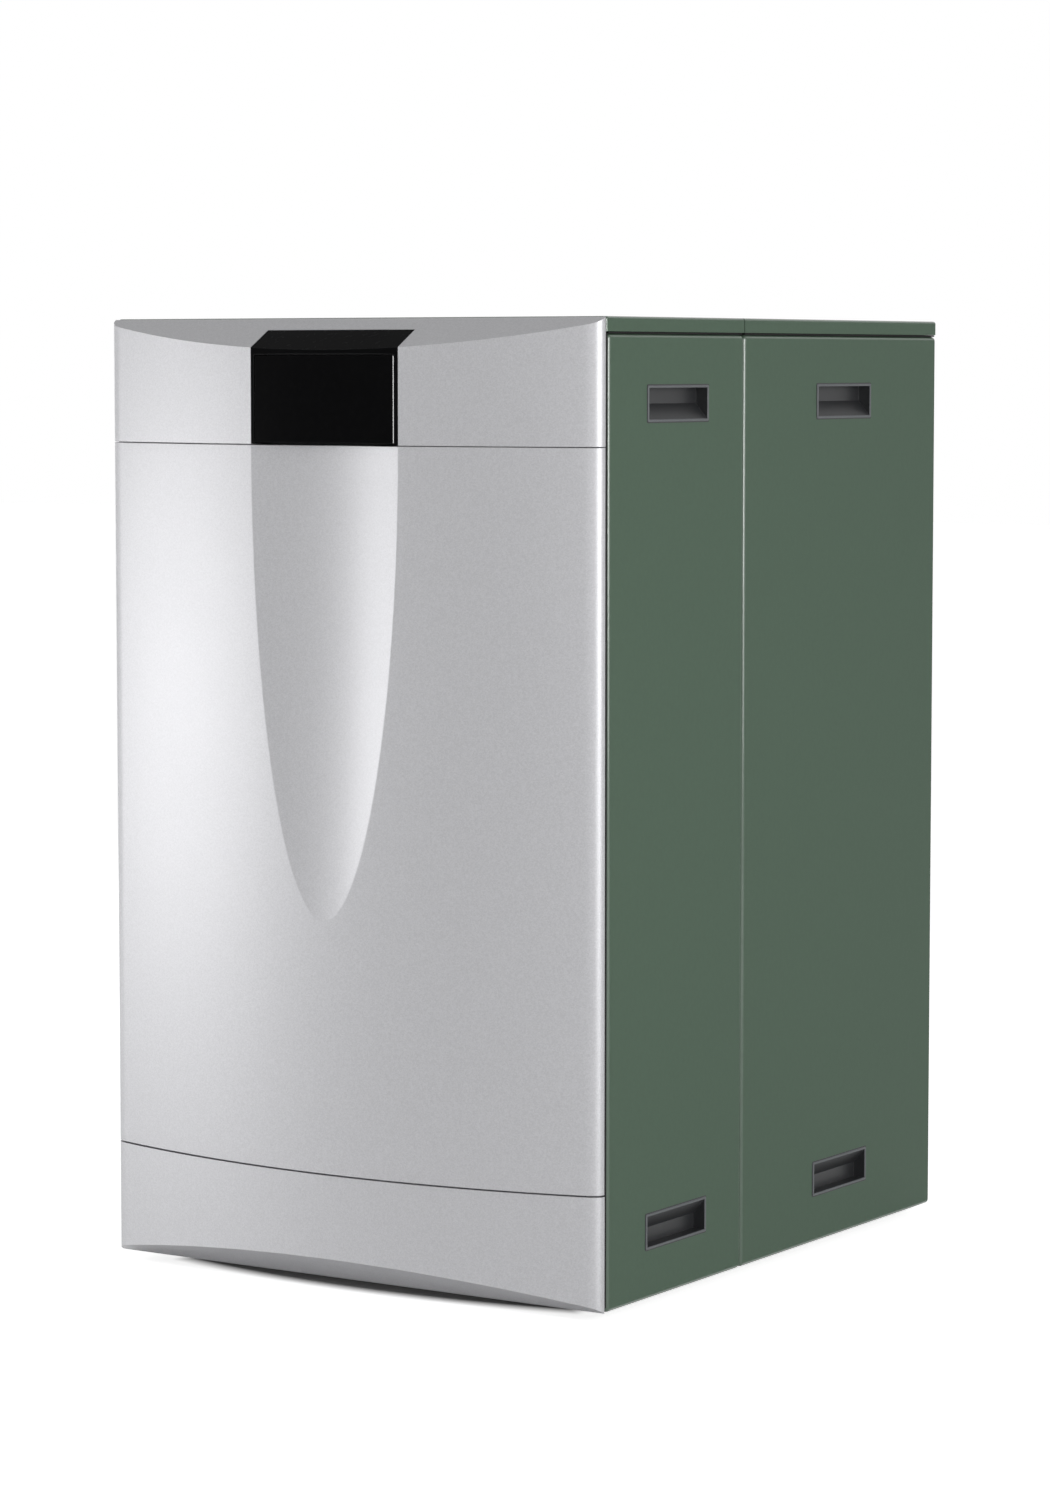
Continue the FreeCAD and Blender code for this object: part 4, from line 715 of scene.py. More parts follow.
class Palette:
    """Every finish of the boiler, by the record's material slot."""

    # Each finish gives its name, its light and dark tones, and the tone of its lightened edges, which is wear
    # and a painted edge highlight.
    FINISHES: dict[str, Finish] = {
        "silver": FlakePaint(
            "silver_flake_paint", (206, 206, 209), (184, 184, 187), (226, 226, 228),
            metallic=0.3, rough=(0.38, 0.48), coat=0.08, coat_rough=0.2, grain=900.0, depth=0.012, film=0.04,
            rub=0.1),
        "green": FoldedPaint(
            "green_satin_paint", (90, 111, 94), (84, 104, 88), (112, 131, 116),
            rough=(0.42, 0.5), specular=0.12, coat_rough=0.14, grain=900.0, depth=0.012, film=0.05),
        "handle_plastic": Finish(
            "handle_grained_plastic", (48, 49, 51), (39, 40, 42), (120, 121, 123),
            rough=(0.34, 0.44), specular=0.35, grain=1400.0, film=0.06, rub=0.3),
        # The grey edge tone on this gloss black paints an edge highlight on the flap as well as wear.
        "console_black": GroundEdge(
            "console_gloss_black", (20, 20, 21), (15, 15, 16), (120, 120, 122),
            rough=(0.2, 0.28), specular=0.006, coat_rough=0.08, grain=700.0, depth=0.006, film=0.05, rub=0.3),
        # Lightened so that the handle frames, which take this finish too, show a painted sheen on their
        # ridge.
        "fascia_grey": Finish(
            "fascia_matt_grey", (106, 109, 112), (94, 97, 100), (142, 144, 146),
            rough=(0.5, 0.6), grain=1200.0, depth=0.03),
        "key_plastic": Finish(
            "key_soft_plastic", (196, 199, 202), (180, 183, 187), (220, 222, 224),
            grain=1000.0),
        "frame_black": Finish(
            "frame_powder_black", (44, 45, 46), (33, 34, 35), (96, 96, 96),
            rough=(0.5, 0.65), grain=1100.0, depth=0.06, rub=0.35),
        "zinc_sheet": Spangle(
            "zinc_spangle_sheet", (186, 190, 194), (162, 167, 172), (210, 212, 214),
            metallic=0.8, rough=(0.36, 0.5), grain=130.0, film=0.12, rub=0.15),
        "module_plastic": Finish(
            "module_moulded_plastic", (64, 67, 70), (52, 55, 58), (104, 106, 108),
            rough=(0.48, 0.6), grain=900.0, depth=0.04),
        "stainless": DrawnMetal(
            "drawn_stainless", (206, 207, 208), (158, 160, 163), (226, 226, 226),
            metallic=1.0, rough=(0.26, 0.4), grain=420.0, depth=0.01, film=0.08),
        "felt": Felt(
            "needled_felt", (206, 196, 172), (150, 138, 112), (206, 196, 172),
            rough=(0.9, 1.0), sheen=0.4, grain=260.0, depth=0.9, film=0.05, rub=0.0),
        "cast_aluminium": Finish(
            "cast_aluminium", (190, 191, 193), (150, 152, 155), (222, 222, 222),
            metallic=0.9, rough=(0.42, 0.58), grain=520.0, depth=0.12, rub=0.4),
        "ceramic": Finish(
            "glazed_ceramic", (238, 234, 224), (222, 216, 204), (244, 242, 236),
            rough=(0.18, 0.3), coat=0.3, grain=300.0, depth=0.01),
        "motor_black": Finish(
            "motor_black_lacquer", (42, 42, 44), (30, 30, 32), (96, 96, 96),
            rough=(0.35, 0.5), grain=600.0, depth=0.03, rub=0.35),
        "duct_plastic": Finish(
            "duct_white_plastic", (226, 226, 222), (208, 208, 204), (238, 238, 236),
            rough=(0.35, 0.48), grain=500.0),
        "pipe_steel": DrawnMetal(
            "drawn_steel_pipe", (150, 152, 154), (104, 106, 110), (190, 190, 190),
            metallic=1.0, rough=(0.32, 0.5), grain=300.0, film=0.12, stretch=(1.0, 0.05, 1.0)),
        "brass": DrawnMetal(
            "machined_brass", (212, 176, 98), (170, 132, 62), (232, 204, 140),
            metallic=1.0, rough=(0.24, 0.4), grain=520.0, depth=0.01, film=0.08, stretch=(1.0, 0.1, 1.0)),
        "lever_yellow": Finish(
            "lever_yellow_dip", (228, 178, 34), (206, 156, 22), (240, 206, 92),
            rough=(0.35, 0.48), depth=0.03),
        "lever_red": Finish(
            "lever_red_dip", (186, 38, 30), (160, 28, 22), (212, 88, 78),
            rough=(0.35, 0.48), depth=0.03),
        "impeller_plastic": Finish(
            "impeller_glass_filled", (70, 72, 74), (54, 56, 58), (110, 112, 114),
            rough=(0.5, 0.62), grain=800.0, depth=0.04),
        # Darkened so that the strip in the gap behind the front panels also paints the shade of that gap.
        "lead_rubber": Finish(
            "black_silicone", (27, 26, 26), (19, 18, 18), (60, 58, 57),
            rough=(0.5, 0.6), specular=0.15, grain=900.0),
        "display_glass": Finish(
            "display_dark_pane", (20, 26, 24), (14, 18, 17), (60, 66, 64),
            rough=(0.05, 0.1), coat=0.2, coat_rough=0.03, specular=0.15, grain=300.0, depth=0.002, film=0.03),
    }

    def __init__(self, effects: Effects) -> None:
        """Build every material once."""
        self.materials = {slot: finish.build(effects) for slot, finish in self.FINISHES.items()}

    def dress(self, piece: Piece, slot: str) -> None:
        """Give a piece the finish of a slot and no other."""
        piece.data.materials.clear()
        piece.data.materials.append(self.materials[slot])

    def dress_solids(self) -> None:
        """Give every CAD node the finish of its slot."""
        slots = {row["node"]: row["material_slot"] for row in frame["record"]["subparts"]}
        for name, solid in frame["nodes"].items():
            self.dress(solid, slots[name])

    def mount(self, piece: Piece, slot: str, body: str, *nodes: str) -> None:
        """Dress a finished piece and let it ride in the place of CAD nodes.

        Args:
            piece: The finished piece.
            slot: The record's material slot that it takes its finish from.
            body: The body it rides on.
            nodes: The CAD nodes that it stands for.
        """
        self.dress(piece, slot)
        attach(piece, body)
        if nodes:
            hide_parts(*nodes)
        LOG.info("%s rides on %s in %s", piece.name, body, slot)


def steps(start: float, end: float, count: int) -> list[float]:
    """Evenly spaced values from a start to an end, both included."""
    return [start + (end - start) * i / count for i in range(count + 1)]


@dataclass
class BowedFront:
    """Shape that the three silver panels and the console share: a bow with round corners and two chamfers."""

    half_w: float
    apex_y: float
    rim_y: float
    low: float
    high: float
    side: float = 10.5 * MM
    round_along: float = 18.0 * MM
    round_back: float = 8.4 * MM
    stand_off: float = 1.0 * MM
    slope: float = math.radians(30.0)
    bow_r: float = field(init=False)
    bow_y: float = field(init=False)
    tangent_x: float = field(init=False)
    corner_y: float = field(init=False)
    corner: Outline = field(init=False)

    def __post_init__(self) -> None:
        """Work out the bow's circle and the right corner, which rounds from the bow to the rim."""
        rise = self.rim_y + self.stand_off - self.apex_y - self.side
        self.bow_r = (self.half_w ** 2 + rise ** 2) / (2 * rise)
        self.bow_y = self.apex_y + self.bow_r
        turn = math.asin(self.half_w / self.bow_r) - self.round_along / self.bow_r
        self.tangent_x = self.bow_r * math.sin(turn)
        width = self.half_w - self.tangent_x
        start_y = self.face_y(self.tangent_x)
        peak_y = start_y + math.tan(turn) * width
        self.corner_y = peak_y + self.round_back
        self.corner = []
        for share in steps(0.0, 1.0, 12):
            rest = 1.0 - share
            y = rest ** 2 * start_y + 2 * share * rest * peak_y + share ** 2 * self.corner_y
            self.corner.append((self.half_w - rest ** 2 * width, y))
        self.corner.append((self.half_w, self.rim_y))

    @classmethod
    def from_frame(cls) -> "BowedFront":
        """Read the outer sizes from the three panels; the rim stands off a little.

        Returns:
            The shape.
        """
        door_low, door_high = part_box("front_door_panel")
        return cls(half_w=door_high.x, apex_y=door_low.y, rim_y=door_high.y - cls.stand_off,
                   low=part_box("lower_front_panel")[0].z, high=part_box("upper_front_panel")[1].z)

    def face_y(self, x: float) -> float:
        """Depth of the bow at a sideways place."""
        return self.bow_y - math.sqrt(self.bow_r ** 2 - x ** 2)

    def on_corner(self, x: float, y: float) -> bool:
        """Whether a place is the middle of a step round the right corner."""
        return any(math.hypot(x - (a[0] + b[0]) / 2, y - (a[1] + b[1]) / 2) < 0.2 * MM
                   for a, b in zip(self.corner, self.corner[1:]))

    def chamfer_z(self, y: float, up: int) -> float:
        """Height of the upper (+1) or lower (-1) chamfer at a depth."""
        drop = math.tan(self.slope) * (self.rim_y + self.stand_off - y)
        return self.high - drop if up > 0 else self.low + drop

    def lip(self, x: float, y: float, z: float, depth: float, narrow: float) -> Vector:
        """Inner edge of a seam lip behind a point of the outline.

        Args:
            x: Sideways place of the point.
            y: Depth of the point.
            z: Height of the seam.
            depth: How far the lip reaches back behind the bow.
            narrow: How far it reaches in at the corners and sides.

        Returns:
            The place of the lip's inner edge.
        """
        if abs(x) < self.tangent_x - HAIR:
            return Vector((x, min(y + depth, self.rim_y - 4.0 * MM), z))
        side = math.copysign(1.0, x)
        if y >= self.corner_y - HAIR:
            return Vector((x - side * narrow, y, z))
        inward = Vector((side * self.tangent_x - x, self.corner_y - y, 0.0)).normalized()
        return Vector((x, y, z)) + inward * narrow


@dataclass
class FrontPanels:
    """The silver front: upper panel, door with its scoop, and lower panel."""

    shape: BowedFront
    wall: float = 3.0 * MM
    lip: float = 27.0 * MM
    lip_narrow: float = 6.0 * MM
    rim_lip: float = 20.0 * MM
    notch_half: float = 91.5 * MM
    notch_back: float = 20.5 * MM
    scoop_half: float = 91.0 * MM
    scoop_h: float = 487.0 * MM
    scoop_d: float = 17.5 * MM
    scoop_fine: float = 14.0 * MM
    seam: float = 1.5 * MM
    close: float = 0.4 * MM
    crease: float = 1.6 * MM
    seam_edge: float = 0.7 * MM
    socket_r: float = 7.8 * MM
    socket_bore: float = 5.3 * MM
    socket_d: float = 12.6 * MM
    socket_in: float = 30.0 * MM
    socket_end: float = 60.0 * MM
    socket_free: float = 2.0 * MM
    crisp: float = 40.0
    face_steps: int = 8
    flank_steps: int = 20
    notch_steps: int = 12
    lower_steps: int = 52
    door_flank_steps: int = 26
    door_low_steps: int = 18
    scoop_steps: int = 64
    scoop_shares: tuple[float, ...] = (0.86, 0.7, 0.53, 0.36, 0.18)
    scoop_top: float = field(init=False)
    top_r: float = field(init=False)
    long_r: float = field(init=False)

    def __post_init__(self) -> None:
        """Work out the scoop, which opens into the seam above the door: its circles across and along."""
        self.scoop_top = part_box("front_door_panel")[1].z + self.seam / 2
        rise = self.scoop_d - (self.shape.face_y(self.scoop_half) - self.shape.apex_y)
        self.top_r = (self.scoop_half ** 2 + rise ** 2) / (2 * rise)
        self.long_r = (self.scoop_h ** 2 + self.scoop_d ** 2) / (2 * self.scoop_d)

    def build(self, palette: Palette) -> None:
        """Model and dress the three panels.

        Args:
            palette: The finishes.
        """
        for piece, body, node in (
            (self.upper(), "cabinet", "upper_front_panel"),
            (self.door(), "door", "front_door_panel"),
            (self.lower(), "lower_panel", "lower_front_panel"),
        ):
            palette.mount(piece, "silver", body, node)

    def finish_sheet(self, sheet: Piece, folds: Test, creases: Test) -> None:
        """Round the folds and creases of a sheet and give it its wall.

        Args:
            sheet: The open sheet.
            folds: Picks the edges along the seams and the rim.
            creases: Picks the creases in the visible face.
        """
        thicken(sheet, self.wall)
        with editing(sheet):
            for test, width in ((creases, self.crease), (folds, self.seam_edge)):
                if pick(sheet, Part.EDGE, test):
                    bpy.ops.mesh.bevel(offset=width, offset_type="OFFSET", segments=3, affect="EDGES",
                                       clamp_overlap=True)
        smooth(sheet, self.crisp)

    def row(self, points: Outline, height: Callable[[float, float], float]) -> list[Vector]:
        """One row across the front, with the rim's inner edge at both ends.

        Args:
            points: Outline from the left rim to the right rim.
            height: Gives the height at a point.

        Returns:
            The row's places.
        """
        shape = self.shape
        inner = shape.half_w - self.rim_lip
        middle = [Vector((x, y, height(x, y))) for x, y in points]
        end_z = min(max(middle[0].z, shape.low + self.rim_lip), shape.high - self.rim_lip)
        first, last = (Vector((x, shape.rim_y, end_z)) for x in (-inner, inner))
        return [first] + middle + [last]

    def rim_row(self, points: Outline, z: float) -> list[Vector]:
        """Inner edge of the return along the top or bottom rim."""
        inner = self.shape.half_w - self.rim_lip
        return self.row([(min(max(x, -inner), inner), self.shape.rim_y) for x, y in points], lambda x, y: z)

    def lip_row(self, points: Outline, z: float) -> list[Vector]:
        """Inner edge of the lip along a seam."""
        row = self.row(points, lambda x, y: z)
        return row[:1] + [self.shape.lip(x, y, z, self.lip, self.lip_narrow) for x, y in points] + row[-1:]

    def outline(self, middle: list[float]) -> Outline:
        """Outline of the front from the left rim to the right one, with given places along the bow."""
        bow = [(x, self.shape.face_y(x)) for x in middle]
        return [(-x, y) for x, y in reversed(self.shape.corner)] + bow + self.shape.corner

    def on_outline(self, place: Vector) -> bool:
        """Whether a place lies on the outer outline of the front, at any height.

        Args:
            place: The place.

        Returns:
            True on the outline.
        """
        shape = self.shape
        x = abs(place.x)
        if x <= shape.tangent_x:
            return abs(place.y - shape.face_y(x)) < NEAR
        return shape.on_corner(x, place.y)

    def is_fold(self, place: Vector, way: Vector, seams: list[float]) -> bool:
        """Whether an edge is a fold along the rim or a seam.

        Args:
            place: Middle of the edge.
            way: Its direction.
            seams: Heights of the panel's seams.

        Returns:
            True on a fold.
        """
        shape = self.shape
        on_rim = abs(place.y - shape.rim_y) < TOUCH
        if on_rim and abs(abs(place.x) - shape.half_w) < TOUCH and abs(way.z) > ALONG:
            return True
        ends = [shape.chamfer_z(shape.rim_y, up) for up in (-1, 1)]
        if on_rim and abs(way.x) > ALONG and min(abs(place.z - z) for z in ends) < TOUCH:
            return True
        at_seam = any(abs(place.z - z) < TOUCH for z in seams)
        return at_seam and abs(way.z) < 0.1 and (self.on_outline(place) or self.in_scoop(place))

    def in_scoop(self, place: Vector) -> bool:
        """Whether a place lies on the hollow of the door."""
        half = self.scoop_width(place.z)
        return abs(place.x) < half and abs(place.y - self.scoop_y(place.x, place.z)) < NEAR

    def sockets(self, heights: list[float]) -> list[Piece]:
        """Hollow sockets behind the face that push onto the studs.

        Args:
            heights: Their heights, on both sides.

        Returns:
            One tube for each.
        """
        shape = self.shape
        x = shape.half_w - self.socket_in
        front = shape.face_y(x + self.socket_r) + self.wall / 2
        back = shape.rim_y - self.socket_free
        middle = Vector((x, (front + back) / 2, heights[0]))
        first = add_rod("socket", middle, "Y", self.socket_r, back - front)
        with editing(first):
            pick(first, Part.FACE, lambda place, normal: normal.y > ALONG)
            bpy.ops.mesh.inset(thickness=self.socket_r - self.socket_bore)
            bpy.ops.mesh.extrude_region_move(TRANSFORM_OT_translate={"value": (0.0, -self.socket_d, 0.0)})
        smooth(first)
        lifts = [Matrix.Translation((0.0, 0.0, z - heights[0])) for z in heights]
        moves = [lift @ turn for lift in lifts for turn in (Matrix.Identity(4), MIRROR)]
        return [first] + [copy_of(first, "socket", move) for move in moves[1:]]

    def scoop_ring(self, z: float) -> tuple[float, float]:
        """Radius of the scoop's circle at a height, and the depth of its centre in front of the door."""
        drop = self.long_r - math.sqrt(self.long_r ** 2 - (self.scoop_top - z) ** 2)
        return self.top_r - drop, self.shape.apex_y + self.scoop_d - self.top_r

    def scoop_y(self, x: float, z: float) -> float:
        """Depth of the hollow at a place."""
        radius, centre = self.scoop_ring(z)
        return centre + math.sqrt(radius ** 2 - x ** 2)

    def scoop_width(self, z: float) -> float:
        """Half width of the hollow at a height, where its circle crosses the bow.

        Args:
            z: Height.

        Returns:
            Half the width, nought off the scoop.
        """
        if not 0.0 <= self.scoop_top - z < self.scoop_h:
            return 0.0
        radius, centre = self.scoop_ring(z)
        bow, bow_y = self.shape.bow_r, self.shape.bow_y
        y = ((radius ** 2 - bow ** 2) / (bow_y - centre) + centre + bow_y) / 2
        return math.sqrt(max(radius ** 2 - (y - centre) ** 2, 0.0))

    def door_points(self, z: float) -> Outline:
        """Outline of the door at a height, with columns that follow the edge of the scoop.

        Args:
            z: Height.

        Returns:
            Pairs of x and y from the left rim to the right rim.
        """
        shape = self.shape
        half = self.scoop_width(z)
        outer = steps(shape.tangent_x, half, self.door_flank_steps)[1:]
        inner = [share * half for share in self.scoop_shares]
        right = [(x, self.scoop_y(x, z) if half > 0 else shape.face_y(x)) for x in reversed(inner)]
        right += [(x, shape.face_y(x)) for x in reversed(outer)] + shape.corner
        middle = (0.0, self.scoop_y(0.0, z) if half > 0 else shape.apex_y)
        return [(-x, y) for x, y in reversed(right)] + [middle] + right

    def door(self) -> Piece:
        """Door panel with the half-ellipse scoop under the console.

        Returns:
            The panel with its sockets.
        """
        low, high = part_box("front_door_panel")
        z0, z1 = low.z, high.z + self.close
        tip = self.scoop_top - self.scoop_h
        start = math.asin((self.scoop_top - z1) / self.scoop_h)
        heights = steps(z0, tip, self.door_low_steps)
        turns = steps(math.pi / 2, start, self.scoop_steps)[1:]
        heights += [self.scoop_top - self.scoop_h * math.sin(turn) for turn in turns]
        rows = [self.row(self.door_points(z), lambda x, y, z=z: z) for z in heights]
        ends = [self.lip_row(self.door_points(z), z) for z in (z0, z1)]
        sheet = add_sheet("door_skin", [ends[0], *rows, ends[1]])

        def crease(place: Vector, way: Vector) -> bool:
            """Whether an edge lies on the rim of the scoop, away from its fine tip."""
            half = self.scoop_width(place.z)
            return half > self.scoop_fine and abs(abs(place.x) - half) < NEAR / 2 and abs(way.z) > 0.3

        self.finish_sheet(sheet, lambda place, way: self.is_fold(place, way, [z0, z1]), crease)
        return join([sheet] + self.sockets([z0 + self.socket_end, z1 - self.socket_end]))

    def upper(self) -> Piece:
        """Upper panel with its chamfer and the notch for the console.

        Returns:
            The panel.
        """
        shape = self.shape
        z0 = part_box("upper_front_panel")[0].z - self.close
        outer = steps(shape.tangent_x, self.notch_half, self.flank_steps)[1:]
        notched = steps(-self.notch_half, self.notch_half, self.notch_steps)[1:-1]
        points = self.outline([-x for x in outer] + notched + outer[::-1])
        share = self.notch_back / (shape.rim_y - shape.face_y(self.notch_half))
        rows = [self.lip_row(points, z0)]
        for part in steps(0.0, 1.0, self.face_steps):
            rows.append(self.row(points, lambda x, y, part=part: z0 + (shape.chamfer_z(y, 1) - z0) * part))
        notch = []
        for x, y in points:
            depth = self.notch_back if abs(x) <= self.notch_half else (shape.rim_y - y) * share
            notch.append((x, shape.rim_y - depth))
        back = [(x, shape.rim_y) for x, y in points]
        for line in (notch, back):
            rows.append(self.row(line, lambda x, y: shape.chamfer_z(y, 1)))
        rows.append(self.rim_row(points, shape.high - self.rim_lip))
        sheet = add_sheet("upper_front_skin", rows)
        with editing(sheet):
            pick(sheet, Part.FACE, lambda place, normal: abs(place.x) < self.notch_half
                       and place.y < shape.rim_y - self.notch_back)
            bpy.ops.mesh.delete(type="FACE")
        self.finish_sheet(sheet, lambda place, way: self.is_fold(place, way, [z0]), self.is_chamfer_edge)
        return sheet

    def is_chamfer_edge(self, place: Vector, way: Vector) -> bool:
        """Whether an edge lies between the bow and a chamfer.

        Args:
            place: Middle of the edge.
            way: Its direction; not used.

        Returns:
            True on such an edge.
        """
        shape = self.shape
        gap = min(abs(place.z - shape.chamfer_z(place.y, 1)), abs(place.z - shape.chamfer_z(place.y, -1)))
        return gap < 0.3 * MM and self.on_outline(place) and place.y < shape.rim_y - 1.0 * MM

    def lower(self) -> Piece:
        """Lower panel with its chamfer down to the floor gap.

        Returns:
            The panel with its sockets.
        """
        shape = self.shape
        z1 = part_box("lower_front_panel")[1].z
        points = self.outline(steps(-shape.tangent_x, shape.tangent_x, self.lower_steps)[1:-1])
        back = [(x, shape.rim_y) for x, y in points]
        rows = [self.rim_row(points, shape.low + self.rim_lip),
                self.row(back, lambda x, y: shape.chamfer_z(y, -1))]
        for part in steps(0.0, 1.0, self.face_steps):
            rows.append(self.row(points, lambda x, y, part=part: shape.chamfer_z(y, -1)
                                 + (z1 - shape.chamfer_z(y, -1)) * part))
        rows.append(self.lip_row(points, z1))
        sheet = add_sheet("lower_front_skin", rows)
        self.finish_sheet(sheet, lambda place, way: self.is_fold(place, way, [z1]), self.is_chamfer_edge)
        return join([sheet] + self.sockets([(shape.low + z1) / 2]))


@dataclass
class PocketHandle:
    """Plastic finger pocket with a raised frame round its mouth, modelled on the right side and copied."""

    length: float = 123.0 * MM
    height: float = 39.0 * MM
    groove: float = 1.1 * MM
    rim: float = 0.2 * MM
    frame_w: float = 2.6 * MM
    frame_h: float = 0.9 * MM
    proud: float = 1.2 * MM
    depth: float = 13.2 * MM
    wall: float = 1.8 * MM
    corner_r: float = 2.0 * MM
    corner_least: float = 0.6 * MM
    taper: float = 0.2 * MM
    crisp: float = 38.0
    frame_crisp: float = 60.0
    frame_steps: int = 14
    corner_steps: int = 5
    wall_shares: tuple[float, ...] = (0.35, 0.7, 0.92)

    def build(self, name: str, x: float, slope: int) -> Piece:
        """Model one pocket about y = 0 and z = 0.

        Args:
            name: Name of the piece.
            x: Outer face of the side panel.
            slope: +1 where the sloping wall is below, -1 where it is above.

        Returns:
            The pocket.
        """
        mouth = self.groove + self.frame_w
        rows = [self.ring(x + out, inset, 0.0) for out, inset in
                ((0.0, 0.0), (self.rim, 0.0), (self.rim, self.groove), (self.rim, mouth), (0.0, mouth))]
        for share in self.wall_shares:
            rows.append(self.ring(x - self.depth * share, mouth, slope * share))
        rows.append(self.ring(x - self.depth, mouth + self.taper, slope))
        rows.append([sum(rows[-1], Vector()) / len(rows[-1])] * len(rows[-1]))
        piece = add_sheet(name, rows)
        thicken(piece, self.wall, even=False)
        smooth(piece, self.crisp)
        return piece

    def frame(self, name: str, x: float) -> Piece:
        """Model the raised frame of one pocket about y = 0 and z = 0.

        Args:
            name: Name of the piece.
            x: Outer face of the side panel.

        Returns:
            The frame.
        """
        rows = []
        for turn in steps(0.0, math.tau, self.frame_steps):
            out = self.proud - self.frame_h * (1.0 - math.sin(turn))
            inset = self.groove + self.frame_w * (1.0 - math.cos(turn)) / 2
            rows.append(self.ring(x + out, inset, 0.0))
        piece = add_sheet(name, rows)
        smooth(piece, self.frame_crisp, False)
        return piece

    def ring(self, x: float, inset: float, lift: float) -> list[Vector]:
        """Rounded rectangle round the pocket.

        Args:
            x: Depth of the ring.
            inset: How far it lies inside the outer edge.
            lift: Share of the half height by which the lower (+) or upper (-) side closes in.

        Returns:
            Places from one corner all the way round to the same corner.
        """
        half_l, half_h = self.length / 2 - inset, self.height / 2 - inset
        radius = max(self.corner_r - inset * 0.35, self.corner_least)
        places = []
        for turn, (side, up) in enumerate(((1, -1), (1, 1), (-1, 1), (-1, -1))):
            for angle in steps(-90.0 + 90.0 * turn, 90.0 * turn, self.corner_steps):
                y = side * (half_l - radius) + radius * math.cos(math.radians(angle))
                z = up * (half_h - radius) + radius * math.sin(math.radians(angle))
                if z * lift < 0.0:
                    z *= 1.0 - abs(lift)
                places.append(Vector((x, y, z)))
        return places + places[:1]


